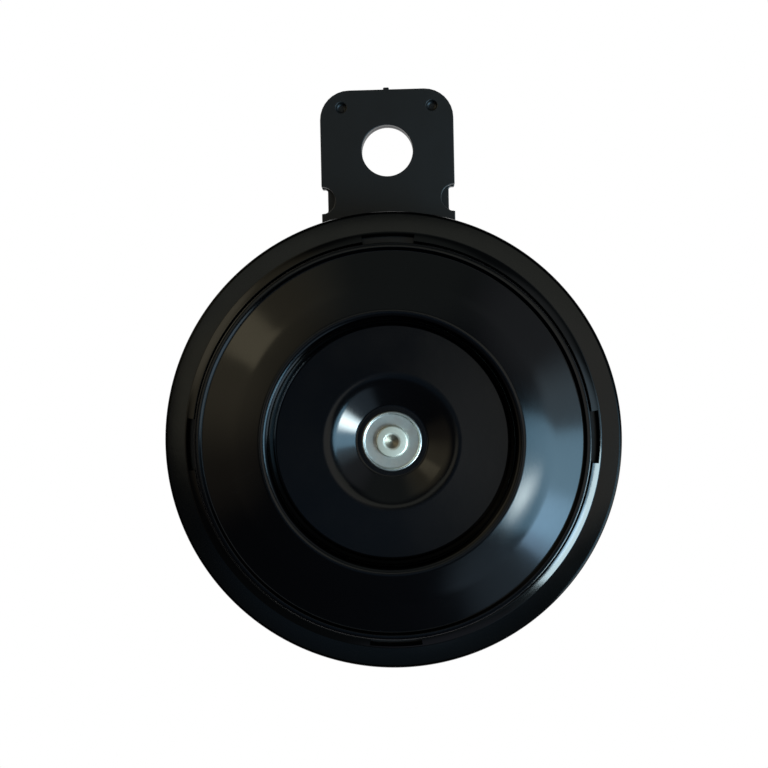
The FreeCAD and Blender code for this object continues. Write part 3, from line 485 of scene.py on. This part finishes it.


# the punched centre is given a darker, browner tone than the turned land
darker_middle(turned_zinc, reach=0.0016, darker_tone=(0.32, 0.29, 0.23))
stud_outline = rounded_outline(
    [(0.0, 1.85), (0.3, 1.95, 0.15), (1.3, 2.66, 0.2), (1.7, 2.75, 0.3), (3.15, 2.72, 0.4),
     (3.15, 1.65), (2.5, 1.65), (2.5, -2.9), (8.0, -2.9, 0.4), (8.0, -18.0, 0.4), (0.0, -18.0)])
add_piece("armature_and_stud", turned_mesh("armature_and_stud", stud_outline, columns=128), turned_zinc,
          "zinc_plate", "armature")

# Drawn housing. The real one is a steel can: the clamping flange, a shallow chamber for the contact
# breaker, and the deep pot round the coil. It carries semi-gloss black paint.
housing_paint = black_paint("housing_black", (0.004, 0.004, 0.0042), roughness=(0.24, 0.34), peel=0.0011,
                            relief=0.000004, dust={"Spacing": 0.004, "Grain": 0.045, "Share": 0.1})
housing_sheet = 1.2
housing_path = rounded_path(
    [(4.05, -27.0), (24.4, -27.0, 1.6), (25.0, -8.6, 2.8), (35.8, -8.6, 1.6), (37.0, -2.1, 2.8),
     (43.65, -2.1)])
housing_outline = loop_of(sheet_pairs(housing_path, housing_sheet, edge=0.2))
add_piece("drawn_housing", turned_mesh("drawn_housing", housing_outline), housing_paint,
          "housing_paint", "housing")

# Spring bracket. The real one is two leaves of spring strip, blanked, joggled forward behind the rim and
# clinched together at two dimples, above the bolt hole at its left and right. Both carry satin black
# paint with a slightly blue cast. Both have two side notches, and the front one a nib on its top edge.
bracket_paint = black_paint("bracket_black", (0.005, 0.0054, 0.006), roughness=(0.36, 0.46), peel=0.0008,
                            relief=0.000005, dust=light_dust)
leaf_thickness = 1.5
leaf_half_width = 13.7
tail_end, pot_back = -13.0, -28.2
tab_top, tab_face = 71.4, -10.0
hole_up, hole_radius = 58.9, 5.25
lower_bend, joggle_rise, bend_radius = 30.0, 11.5, 3.0
tail_corner, tab_corner = 9.0, 6.0
nib_half_width, nib_height, nib_corner = 0.6, 0.4, 0.2
stud_hole_radius = 4.2
tumbled_edge = 0.14


def round_hole(across, along, radius, points=72):
    """The edge of a round hole in a flat blank."""
    return [(across + radius * math.cos(math.tau * step / points),
             along + radius * math.sin(math.tau * step / points)) for step in range(points)]


def cut_blank(name, outlines, thickness, edge):
    """A flat blank cut from sheet, its burred edges tumbled round; its front face is at height zero."""
    blank = bpy.data.curves.new(name, "CURVE")
    blank.dimensions = "2D"
    blank.fill_mode = "BOTH"
    blank.extrude = thickness / 2 - edge
    blank.bevel_depth = edge
    blank.bevel_resolution = 1
    blank.offset = -edge
    for outline in outlines:
        spline = blank.splines.new("POLY")
        spline.points.add(len(outline) - 1)
        for point, (across, along) in zip(spline.points, outline):
            point.co = (across, along, 0.0, 1.0)
        spline.use_cyclic_u = True
    holder = bpy.data.objects.new(name, blank)
    mesh = bpy.data.meshes.new_from_object(holder)
    bpy.data.objects.remove(holder)
    bpy.data.curves.remove(blank)
    shape = bmesh.new()
    shape.from_mesh(mesh)
    bpy.data.meshes.remove(mesh)
    bmesh.ops.translate(shape, verts=shape.verts, vec=(0.0, 0.0, -thickness / 2))
    return shape


def bend_blank(name, shape, path, place_at):
    """Bends a flat blank along a path, face to face, and puts it where it belongs on the horn."""
    cut_snap, same_place = 1e-5, 2e-7
    lengths = [0.0]
    for (before, _), (after, _) in zip(path, path[1:]):
        lengths.append(lengths[-1] + (after - before).length)
    for length in lengths[1:-1]:
        bmesh.ops.bisect_plane(shape, geom=shape.verts[:] + shape.edges[:] + shape.faces[:],
                               dist=cut_snap, plane_co=(0.0, length, 0.0), plane_no=(0.0, 1.0, 0.0))
    for vertex in shape.verts:
        along = vertex.co.y
        step = next((index for index in range(len(lengths) - 2) if along < lengths[index + 1]),
                    len(lengths) - 2)
        start, heading = path[step]
        end, heading_after = path[step + 1]
        part = (along - lengths[step]) / (lengths[step + 1] - lengths[step])
        inside = min(max(part, 0.0), 1.0)
        way = heading.lerp(heading_after, inside).normalized()
        middle = start.lerp(end, part)
        middle = middle + way.orthogonal() * vertex.co.z
        vertex.co = place_at(vertex.co.x, middle.x, middle.y)
    bmesh.ops.remove_doubles(shape, verts=shape.verts, dist=same_place)
    bmesh.ops.recalc_face_normals(shape, faces=shape.faces)
    mesh = bpy.data.meshes.new(name)
    shape.to_mesh(mesh)
    shape.free()
    return mesh


def on_bracket(across, up, forward):
    """A place on the bracket, in the row frame."""
    return Vector((across, ring_face - forward, axis_height + up)) / 1000


def leaf_path(depth):
    """The front face of a leaf, from tail to tab; depth is the way back from the strip's own front."""
    reach = tab_face - pot_back
    lean = (math.hypot(joggle_rise, reach) - joggle_rise) / reach
    low_bend = lower_bend + depth * lean
    return rounded_path(
        [(tail_end, pot_back - depth), (low_bend, pot_back - depth, bend_radius + depth),
         (low_bend + joggle_rise, tab_face - depth, bend_radius + 2 * leaf_thickness - depth),
         (tab_top, tab_face - depth)], bend_steps=10)


def path_length(path):
    """How long a strip is along a path."""
    return sum((after - before).length for (before, _), (after, _) in zip(path, path[1:]))


def leaf_blank(name, depth, notch, holes, nib):
    """One leaf as blanked: rounded tail and tab corners, side notches, nib, bolt, stud and clinch holes."""
    path = leaf_path(depth)
    long = path_length(path)
    tab_line = long - (tab_top - hole_up)
    half = leaf_half_width
    right_side = [(half, 0.0, tail_corner)]
    right_side += [(half - inset, tab_line + rise, *bend) for inset, rise, *bend in notch]
    right_side += [(half, long, tab_corner)]
    nib_top = long + nib_height
    top = [(nib_half_width, long), (nib_half_width, nib_top, nib_corner),
           (-nib_half_width, nib_top, nib_corner), (-nib_half_width, long)] if nib else []
    left_side = [(-across, along, *bend) for across, along, *bend in reversed(right_side)]
    outline = rounded_outline(right_side + top + left_side, closed=True)
    outlines = [outline, round_hole(0.0, tab_line, hole_radius),
                round_hole(0.0, -tail_end, stud_hole_radius)]
    outlines += [round_hole(across, tab_line + rise, radius, 32) for across, rise, radius in holes]
    return cut_blank(name, outlines, leaf_thickness, edge=tumbled_edge), path, tab_line


def add_pressed_round(shape, centre, outline, points=32):
    """A small pressed cup or button on a flat blank: an outline of radius and height, turned round."""
    rows = []
    for step in range(points):
        turn = math.tau * step / points
        rows.append([shape.verts.new((centre[0] + radius * math.cos(turn),
                                      centre[1] + radius * math.sin(turn), height))
                     for radius, height in outline])
    for row, after in zip(rows, rows[1:] + rows[:1]):
        for index in range(len(outline) - 1):
            shape.faces.new((row[index], row[index + 1], after[index + 1], after[index]))


clinch_across, clinch_rise, clinch_radius = 9.3, 9.0, 1.1
neck_fall, front_neck_radius, notch_steps = -9.9, 2.8, 12
rear_neck_depth, rear_neck_half = 1.2, 2.5
front_notch = []
for step in range(notch_steps + 1):
    swing = math.radians(-90 + 180 * step / notch_steps)
    front_notch.append((front_neck_radius * math.cos(swing),
                        neck_fall + front_neck_radius * math.sin(swing)))
rear_notch = [(0.0, neck_fall - rear_neck_half, 0.3), (rear_neck_depth, neck_fall - rear_neck_half, 0.6),
              (rear_neck_depth, neck_fall + rear_neck_half, 0.6), (0.0, neck_fall + rear_neck_half, 0.3)]
clinch_holes = [(side * clinch_across, clinch_rise, clinch_radius) for side in (-1, 1)]
dimple_outline = [(1.1, -0.12), (1.0, -0.45), (0.9, -0.8), (0.6, -0.95), (0.25, -0.98), (0.0, -0.98)]
button_outline = [(1.75, -1.49), (1.65, -1.75), (1.45, -1.98), (1.1, -2.08), (0.5, -2.1), (0.0, -2.1)]

front_leaf, front_path, front_line = leaf_blank("front_leaf", 0.0, front_notch, clinch_holes, nib=True)
for side in (-1, 1):
    add_pressed_round(front_leaf, (side * clinch_across, front_line + clinch_rise), dimple_outline)
add_piece("bracket_front", bend_blank("bracket_front", front_leaf, front_path, on_bracket), bracket_paint,
          "bracket_paint", "bracket_front_leaf", smooth_below=20.0)

rear_leaf, rear_path, rear_line = leaf_blank("rear_leaf", leaf_thickness, rear_notch, [], nib=False)
for side in (-1, 1):
    add_pressed_round(rear_leaf, (side * clinch_across, rear_line + clinch_rise), button_outline)
add_piece("bracket_rear", bend_blank("bracket_rear", rear_leaf, rear_path, on_bracket), bracket_paint,
          "bracket_paint", "bracket_rear_leaf", smooth_below=20.0)

# Rear stud, lock washer and nut. The pole piece ends in a threaded stud that carries the bracket, under
# a split spring washer and an M8 nut with chamfered corners. All are zinc plated.
stud_radius, thread_pitch, thread_depth = 4.0, 1.25, 0.62
stud_end, stud_chamfer, thread_top, thread_runout = -42.0, 0.7, -28.6, 0.3
core_radius, core_front, core_chamfer = 8.0, -18.7, 0.3
pot_floor = -27.0


def thread_cut(turn, forward):
    """Depth of a right-hand thread's groove at a place on the stud, with a flat crest and a flat root."""
    phase = (forward / thread_pitch + turn / math.tau) % 1.0
    flank_stretch, crest_flat = 1.25, 0.12
    return thread_depth * min(1.0, max(0.0, abs(2 * phase - 1) * flank_stretch - crest_flat))


def build_stud(shape):
    """Pole piece inside the coil, and the stud with its thread, rolled up to the housing."""
    columns, rows_per_pitch = 64, 10
    count = round((thread_top - stud_end) / thread_pitch * rows_per_pitch)
    outline = [(0.0, stud_end)]
    outline += [(None, stud_end + (thread_top - stud_end) * row / count) for row in range(count + 1)]
    outline += [(stud_radius, thread_top + thread_runout), (stud_radius, pot_floor),
                (core_radius, pot_floor), (core_radius, core_front - core_chamfer),
                (core_radius - core_chamfer, core_front), (0.0, core_front)]
    rows = []
    for column in range(columns):
        turn = math.tau * column / columns
        row = []
        for radius, forward in outline:
            if radius is None:
                chamfer = stud_radius - stud_chamfer + (forward - stud_end)
                radius = min(stud_radius - thread_cut(turn, forward), chamfer)
            row.append(shape.verts.new(horn_point(radius, turn, forward)))
        rows.append(row)
    skin_rows(shape, rows)


add_piece("pole_piece_and_stud", mesh_from("pole_piece_and_stud", build_stud), zinc_plating,
          "zinc_plate", "fixed_core", smooth_below=50.0)

nut_flat, nut_front, nut_rear = 6.5, -33.0, -39.5
nut_bore, nut_countersink = 4.0, 0.5
chamfer_start, chamfer_slope, turned_corner = 0.96, math.tan(math.radians(30)), math.radians(28.5)


def build_nut(shape):
    """Hexagon nut whose corners are turned down to a chamfer on both faces, with a countersunk bore."""
    columns, half_side = 96, math.radians(30)
    face_radius = nut_flat * chamfer_start
    mouth = nut_bore + nut_countersink
    rows = []
    for column in range(columns):
        turn = math.tau * column / columns
        from_flat = (turn + half_side) % (2 * half_side) - half_side
        side = min(nut_flat / math.cos(from_flat), nut_flat / math.cos(turned_corner))
        drop = (side - face_radius) * chamfer_slope
        outline = [(nut_bore, nut_rear + nut_countersink), (mouth, nut_rear), (face_radius, nut_rear),
                   (side, nut_rear + drop), (side, nut_front - drop), (face_radius, nut_front),
                   (mouth, nut_front), (nut_bore, nut_front - nut_countersink)]
        rows.append([shape.verts.new(horn_point(radius, turn + half_side, forward))
                     for radius, forward in outline])
    skin_rows(shape, rows)


add_piece("bracket_nut", mesh_from("bracket_nut", build_nut), zinc_plating, "zinc_plate", "stud_nut",
          smooth_below=25.0)

lock_inner, lock_outer, lock_front = 4.25, 7.1, -31.2
split_place, split_width, split_slant = math.radians(52), math.radians(8), math.radians(7)


def build_lock_washer(shape):
    """Split spring washer: a square wire coiled once, with a slanting gap between its ends."""
    outline = rounded_outline(
        [(lock_inner, nut_front, 0.2), (lock_outer, nut_front, 0.25), (lock_outer, lock_front, 0.25),
         (lock_inner, lock_front, 0.2)], closed=True, bend_steps=3)
    columns = 96
    middle, half_thickness = (nut_front + lock_front) / 2, (lock_front - nut_front) / 2
    rows = []
    for column in range(columns + 1):
        turn = split_place + split_width / 2 + (math.tau - split_width) * column / columns
        row = []
        for radius, forward in outline:
            slant = split_slant * (forward - middle) / half_thickness
            row.append(shape.verts.new(horn_point(radius, turn + slant, forward)))
        rows.append(row)
    skin_rows(shape, rows, full_turn=False)


add_piece("split_lock_washer", mesh_from("split_lock_washer", build_lock_washer), zinc_plating,
          "zinc_plate", "stud_lock_washer")

# Terminals. The real ones are two brass blades for push-on connectors, each bent up from a foot that is
# riveted through a moulded block on the housing's shoulder. The block keeps them clear of the steel.
shoulder_middle = 31.0
block_middle, terminal_swing = math.radians(-90), math.radians(13)
terminal_turns = {"left": block_middle - terminal_swing, "right": block_middle + terminal_swing}
terminal_centres = {name: (shoulder_middle * math.cos(turn), shoulder_middle * math.sin(turn))
                    for name, turn in terminal_turns.items()}


def moulded_resin(name, color):
    """Moulded insulating resin: a mottled matt colour with a faint mould texture."""
    material, tree, surface = new_finish(name)
    skin = use_effect(tree, paint_skin, Peel_size=0.0004, Slow_size=0.004)
    mottle, mould_relief = 0.75, 0.00001
    darker = tuple(channel * mottle for channel in color)
    cloud = skin.outputs["Gloss cloud"]
    tree.links.new(mixed_color(tree, spread(tree, cloud, 0.0, 1.0), color, darker),
                   surface.inputs["Base Color"])
    tree.links.new(spread(tree, cloud, 0.42, 0.55), surface.inputs["Roughness"])
    add_relief(tree, surface, mould_relief, skin.outputs["Height"])
    return material


insulator_resin = moulded_resin("insulator_resin", (0.16, 0.085, 0.045))
blade_brass = plated_metal("blade_brass", (0.83, 0.66, 0.36), (0.7, 0.52, 0.26), roughness=(0.24, 0.36),
                           blotch=0.004)


def build_outer_block(shape):
    """A moulded sector under both terminals, with rounded corners."""
    outline = rounded_outline(
        [(27.9, -12.0, 0.5), (34.1, -12.0, 0.5), (34.1, -9.8), (27.9, -9.8)], closed=True, bend_steps=4)
    columns, sweep = 48, math.radians(50)
    rows = []
    for column in range(columns + 1):
        turn = block_middle - sweep / 2 + sweep * column / columns
        rows.append([shape.verts.new(horn_point(radius, turn, forward)) for radius, forward in outline])
    skin_rows(shape, rows, full_turn=False)


add_piece("terminal_block", mesh_from("terminal_block", build_outer_block), insulator_resin,
          "insulator_board", "terminal_outer_block")

blade_sheet, blade_half_width = 0.8, 3.15
blade_outer, foot_reach = shoulder_middle + 3.4, 2.2
foot_face, blade_end = -12.0, -21.8
tip_chamfer, foot_corner = 1.0, 0.6
lock_hole_place, lock_hole_radius, blade_rivet_radius = 3.4, 0.9, 1.3
blade_path = rounded_path(
    [(blade_outer, blade_end), (blade_outer, foot_face, 1.3), (shoulder_middle - foot_reach, foot_face)],
    bend_steps=6)


def terminal_blade(name, turn):
    """One blade: pointed tip with its lock hole, and the foot with its rivet hole, bent at right angles."""
    long = path_length(blade_path)
    half = blade_half_width
    outline = rounded_outline(
        [(half - tip_chamfer, 0.0), (half, tip_chamfer), (half, long, foot_corner),
         (-half, long, foot_corner), (-half, tip_chamfer), (tip_chamfer - half, 0.0)],
        closed=True, bend_steps=4)
    holes = [round_hole(0.0, lock_hole_place, lock_hole_radius, 36),
             round_hole(0.0, long - foot_reach, blade_rivet_radius, 36)]
    blank = cut_blank(name, [outline, *holes], blade_sheet, edge=0.08)

    def on_shoulder(across, outward, forward):
        place = horn_point(outward, turn, forward)
        return place + Vector((-math.sin(turn), 0.0, math.cos(turn))) * across / 1000

    return bend_blank(name, blank, blade_path, on_shoulder)


for side, turn in terminal_turns.items():
    add_piece(f"blade_{side}", terminal_blade(f"blade_{side}", turn), blade_brass, "terminal_brass",
              f"terminal_{side}", smooth_below=20.0)


def build_terminal_rivets(shape):
    """Two tubular rivets, rolled over on the blades' feet and on the block inside."""
    outline = rounded_outline(
        [(0.0, -12.9), (0.7, -13.0, 0.2), (0.95, -13.6, 0.15), (1.9, -13.4, 0.35), (1.9, -12.8),
         (1.3, -12.8), (1.3, -7.2), (1.9, -7.2), (1.9, -6.4, 0.35), (0.0, -6.4)], bend_steps=5)
    for centre in terminal_centres.values():
        skin_rows(shape, turned_rows(shape, outline, 40, centre))


add_piece("terminal_rivet_pair", mesh_from("terminal_rivet_pair", build_terminal_rivets), blade_brass,
          "terminal_brass", "terminal_rivets")

# Everything inside, and the small fasteners on the shoulder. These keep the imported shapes: the magnet's
# coil on its bobbin, the diaphragm between its gaskets, and the contact stack that breaks the current.
spring_steel = plated_metal("spring_steel", (0.3, 0.29, 0.28), (0.2, 0.195, 0.19), roughness=(0.3, 0.45),
                            blotch=0.005)
diaphragm_black = black_paint("diaphragm_black", (0.006, 0.006, 0.0062), roughness=(0.3, 0.4), peel=0.0008,
                              relief=0.000003, dust=light_dust)
contact_alloy = plated_metal("contact_alloy", (0.62, 0.62, 0.62), (0.5, 0.5, 0.51), roughness=(0.2, 0.3))
bobbin_nylon = moulded_resin("bobbin_nylon", (0.035, 0.035, 0.037))


def pressed_gasket_board():
    """Gasket board: pressed fibres, matt and slightly furry."""
    material, tree, surface = new_finish("gasket_board")
    fibre_scale, fibre_relief = 1400.0, 0.00003
    fibres = noise_cloud(tree, surface_place(tree), fibre_scale, detail=6.0, roughness=0.7)
    tone = spread(tree, fibres, 0.0, 1.0)
    tree.links.new(mixed_color(tree, tone, (0.15, 0.135, 0.12), (0.09, 0.08, 0.07)),
                   surface.inputs["Base Color"])
    surface.inputs["Roughness"].default_value = 0.9
    add_relief(tree, surface, fibre_relief, fibres)
    return material


def wound_copper():
    """Enamelled copper wire, wound in close turns round the horn's axis."""
    material, tree, surface = new_finish("wound_copper")
    # the texture's bands are pi times as wide as the wire, so that they still show in a render
    wire_pitch, winding_relief = 0.00045, 0.0001
    turns = add_shader(tree, "ShaderNodeTexWave",
                       {"Vector": surface_place(tree), "Scale": 0.1 / wire_pitch, "Distortion": 0.6,
                        "Detail": 1.0}, bands_direction="Y", wave_profile="SIN").outputs["Fac"]
    tree.links.new(mixed_color(tree, turns, (0.25, 0.07, 0.03), (0.62, 0.24, 0.1)),
                   surface.inputs["Base Color"])
    surface.inputs["Metallic"].default_value = 0.9
    surface.inputs["Roughness"].default_value = 0.3
    add_relief(tree, surface, winding_relief, turns, strength=0.8)
    return material


inner_finishes = {
    diaphragm_black: ("diaphragm",),
    spring_steel: ("moving_contact_leaf",),
    contact_alloy: ("moving_contact", "fixed_contact"),
    bobbin_nylon: ("coil_bobbin", "armature_collar"),
    pressed_gasket_board(): ("front_gasket", "rear_gasket"),
    wound_copper(): ("coil_winding", "contact_lead"),
    insulator_resin: ("breaker_lower_insulator", "breaker_middle_insulator", "breaker_upper_insulator",
                      "terminal_inner_block"),
    blade_brass: ("fixed_contact_arm",),
    zinc_plating: ("hub_spacer", "armature_washer", "coil_retainer", "breaker_rivets",
                   "adjusting_screw", "adjusting_screw_nut"),
}
for material, nodes in inner_finishes.items():
    for node in nodes:
        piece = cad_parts[node]
        piece.data.materials.clear()
        piece.data.materials.append(material)

# Studio. A small pale floor well below and behind the hanging horn, and a white surround behind it, which
# metal mirrors too. The room in front is dark, as in the photo: a large cool window low on the right with
# a bright pane close by, dim walls with soft edges round it, and a small warm lamp high on the left.
floor_height = -0.3
floor_reach = 0.2
floor_back = 0.2


def any_ray(path, *kinds):
    """Whether a ray is of one of these kinds."""
    seen = 0.0
    for kind in kinds:
        seen = math_step(path.id_data, "MAXIMUM", seen, path.outputs[f"Is {kind} Ray"])
    return seen


def floor_surface():
    """Pale floor that reads white to the eye and in mirrors, and keeps a faint shadow."""
    material, tree, surface = new_finish("pale_floor")
    surface.inputs["Base Color"].default_value = (0.8, 0.8, 0.8, 1.0)
    surface.inputs["Roughness"].default_value = 0.9
    path = add_shader(tree, "ShaderNodeLightPath")
    glow_share = 0.9
    seen = any_ray(path, "Camera", "Glossy", "Transmission")
    share = math_step(tree, "MULTIPLY", seen, glow_share)
    glow = add_shader(tree, "ShaderNodeEmission", {"Color": (1.0, 1.0, 1.0, 1.0), "Strength": 1.0})
    blend = add_shader(tree, "ShaderNodeMixShader", {0: share, 1: surface.outputs[0], 2: glow.outputs[0]})
    tree.links.new(blend.outputs[0], tree.nodes["Material Output"].inputs["Surface"])
    return material


def build_floor(shape):
    bmesh.ops.create_circle(shape, cap_ends=True, radius=floor_reach, segments=96,
                            matrix=Matrix.Translation((0.0, floor_back, floor_height)))


floor_mesh = mesh_from("studio_floor", build_floor)
floor_mesh.materials.append(floor_surface())
studio_floor = bpy.data.objects.new("studio_floor", floor_mesh)
bpy.context.scene.collection.objects.link(studio_floor)


def off_axis_way(tilt, swing):
    """A direction out in front: its angle from the horn's axis, and its swing round from level right."""
    tilt, swing = math.radians(tilt), math.radians(swing)
    return Vector((math.sin(tilt) * math.cos(swing), -math.cos(tilt), -math.sin(tilt) * math.sin(swing)))


# soft-edged parts of the room: colour, angle off the axis, swing round from level right (down is
# positive), and the angles from its middle at which the part is full and has faded out
room_parts = (
    ((0.11, 0.125, 0.115), 41, 270, 14, 28),
    ((0.72, 1.0, 1.2), 52, 6, 8, 24),
    ((0.25, 0.35, 0.45), 45, 58, 6, 14),
    ((0.34, 0.3, 0.2), 52, 211, 10, 34),
    ((0.5, 0.45, 0.34), 70, 208, 8, 20),
    ((0.12, 0.1, 0.07), 48, 178, 8, 24),
    ((0.2, 0.21, 0.22), 46, 328, 8, 22),
    ((0.03, 0.06, 0.1), 12, 100, 4, 14),
    ((0.1, 0.1, 0.13), 80, 78, 8, 28),
)
# lit pieces of the far wall: colour, then left, right, bottom and top edge as shares of its distance
wall_pieces = (
    ((0.44, 0.43, 0.39), 0.012, 0.4, -0.2, 0.09),
    ((0.35, 0.36, 0.31), -0.32, 0.4, 0.07, 0.24),
    ((0.42, 0.4, 0.31), -0.34, -0.17, -0.1, 0.09),
    ((0.2, 0.26, 0.3), 0.005, 0.05, -0.33, -0.24),
)


def build_wall_piece():
    """A soft-edged rectangle on the far wall in front of the horn, seen from the horn."""
    group, given, result = effect_group(
        "wall_piece", {"Left": 0.0, "Right": 0.1, "Bottom": 0.0, "Top": 0.1, "Softness": 0.02}, ("Mask",))
    heading = add_shader(group, "ShaderNodeTexCoord").outputs["Generated"]
    axes = add_shader(group, "ShaderNodeSeparateXYZ", {"Vector": heading})
    ahead = math_step(group, "MULTIPLY", axes.outputs["Y"], -1.0)
    least_ahead = 0.1
    mask = math_step(group, "GREATER_THAN", ahead, least_ahead)
    for axis, low, high in (("X", "Left", "Right"), ("Z", "Bottom", "Top")):
        share = math_step(group, "DIVIDE", axes.outputs[axis], ahead)
        past_low = math_step(group, "SUBTRACT", share, given.outputs[low])
        before_high = math_step(group, "SUBTRACT", given.outputs[high], share)
        inside = math_step(group, "MINIMUM", past_low, before_high)
        mask = math_step(group, "MULTIPLY", mask, soft_step(group, inside, 0.0, given.outputs["Softness"]))
    group.links.new(mask, result.inputs["Mask"])
    return group


def light_world():
    """White to the eye, and white in mirrors behind the horn; the room in front has its soft parts."""
    world = bpy.data.worlds.new("studio_room")
    world.use_nodes = True
    tree = world.node_tree
    tree.nodes.clear()
    heading = add_shader(tree, "ShaderNodeTexCoord").outputs["Generated"]
    axes = add_shader(tree, "ShaderNodeSeparateXYZ", {"Vector": heading})
    behind = soft_step(tree, axes.outputs["Y"], 0.3, 0.75)
    lit = []
    for color, tilt, swing, full, gone in room_parts:
        near = vector_step(tree, "DOT_PRODUCT", heading, off_axis_way(tilt, swing))
        start, end = (math.cos(math.radians(angle)) for angle in (gone, full))
        lit.append((soft_step(tree, near, start, end), color))
    wall_piece = build_wall_piece()
    for color, *edges in wall_pieces:
        placed = use_effect(tree, wall_piece, **dict(zip(("Left", "Right", "Bottom", "Top"), edges)))
        lit.append((placed.outputs["Mask"], color))
    black, dark_room, pale = (0.0, 0.0, 0.0), (0.012, 0.013, 0.016), (0.8, 0.8, 0.8)
    room = mixed_color(tree, behind, dark_room, pale)
    for mask, color in lit:
        room = vector_step(tree, "ADD", room, mixed_color(tree, mask, black, color))
    room_light = add_shader(tree, "ShaderNodeBackground", {"Color": room})
    white = add_shader(tree, "ShaderNodeBackground", {"Color": (1.0, 1.0, 1.0, 1.0), "Strength": 1.0})
    path = add_shader(tree, "ShaderNodeLightPath")
    mirrored = math_step(tree, "MULTIPLY", any_ray(path, "Glossy", "Transmission"), behind)
    seen = math_step(tree, "MAXIMUM", path.outputs["Is Camera Ray"], mirrored)
    blend = add_shader(tree, "ShaderNodeMixShader", {0: seen, 1: room_light.outputs[0],
                                                     2: white.outputs[0]})
    output = add_shader(tree, "ShaderNodeOutputWorld")
    tree.links.new(blend.outputs[0], output.inputs["Surface"])
    bpy.context.scene.world = world


light_world()
horn_middle = Vector((0.0, ring_face, axis_height)) / 1000


def add_lamp(name, tilt, swing, distance, spans, radiance, color, mirrored=True, fan=180.0):
    """A soft lamp aimed at the horn; its spans are the angles it fills, round the axis and outward."""
    way = off_axis_way(tilt, swing)
    width, height = (2 * distance * math.tan(math.radians(span / 2)) for span in spans)
    lamp = bpy.data.lights.new(name, "AREA")
    lamp.shape = "RECTANGLE"
    lamp.size, lamp.size_y = width, height
    lamp.energy = radiance * math.pi * width * height
    lamp.color = color
    lamp.spread = math.radians(fan)
    holder = bpy.data.objects.new(name, lamp)
    outward = Vector((0.0, -1.0, 0.0)) - way * -way.y
    outward = -outward.normalized()
    level = outward.cross(way).normalized()
    holder.matrix_world = Matrix((level, outward, way)).transposed().to_4x4()
    holder.location = horn_middle + way * distance
    holder.visible_camera = False
    holder.visible_glossy = mirrored
    bpy.context.scene.collection.objects.link(holder)


add_lamp("window", tilt=70, swing=28, distance=0.7, spans=(38, 20), radiance=16.0,
         color=(0.7, 0.92, 1.0))
add_lamp("window_foot", tilt=58, swing=34, distance=0.71, spans=(16, 14), radiance=8.0,
         color=(0.42, 0.7, 1.0))
add_lamp("window_reveal", tilt=44, swing=21, distance=0.72, spans=(28, 30), radiance=4.2,
         color=(0.36, 0.72, 1.0))
add_lamp("near_pane", tilt=41.0, swing=30.5, distance=0.145, spans=(24, 6), radiance=0.46,
         color=(0.88, 1.0, 1.0), fan=18.5)
add_lamp("warm_lamp", tilt=48, swing=212, distance=0.8, spans=(12, 14), radiance=0.9,
         color=(1.0, 0.88, 0.6))
add_lamp("front_fill", tilt=20, swing=230, distance=1.2, spans=(50, 50), radiance=0.5,
         color=(1.0, 0.9, 0.78), mirrored=False)

# Camera. It stands in front of the horn, a little above its axis and to the right, and leans slightly,
# so that the horn hangs with its tab a shade to the left.
camera_place = Vector((4.56, -213.0, -44.48)) / 1000
camera_aim = Vector((-1.36, -13.0, -47.76)) / 1000
camera_lean = math.radians(-1.195)
camera_focal = 47.8

lens = bpy.data.cameras.new("photo_camera")
lens.lens = camera_focal
lens.sensor_width = 36.0
lens.clip_start = 0.01
camera = bpy.data.objects.new("photo_camera", lens)
ahead = (camera_aim - camera_place).normalized()
level = ahead.cross(Vector((0.0, 0.0, 1.0))).normalized()
upright = level.cross(ahead)
right = level * math.cos(camera_lean) + upright * math.sin(camera_lean)
above = upright * math.cos(camera_lean) - level * math.sin(camera_lean)
camera.matrix_world = Matrix((right, above, -ahead)).transposed().to_4x4()
camera.location = camera_place
bpy.context.scene.collection.objects.link(camera)
bpy.context.scene.camera = camera
bpy.context.scene.view_settings.view_transform = "Standard"
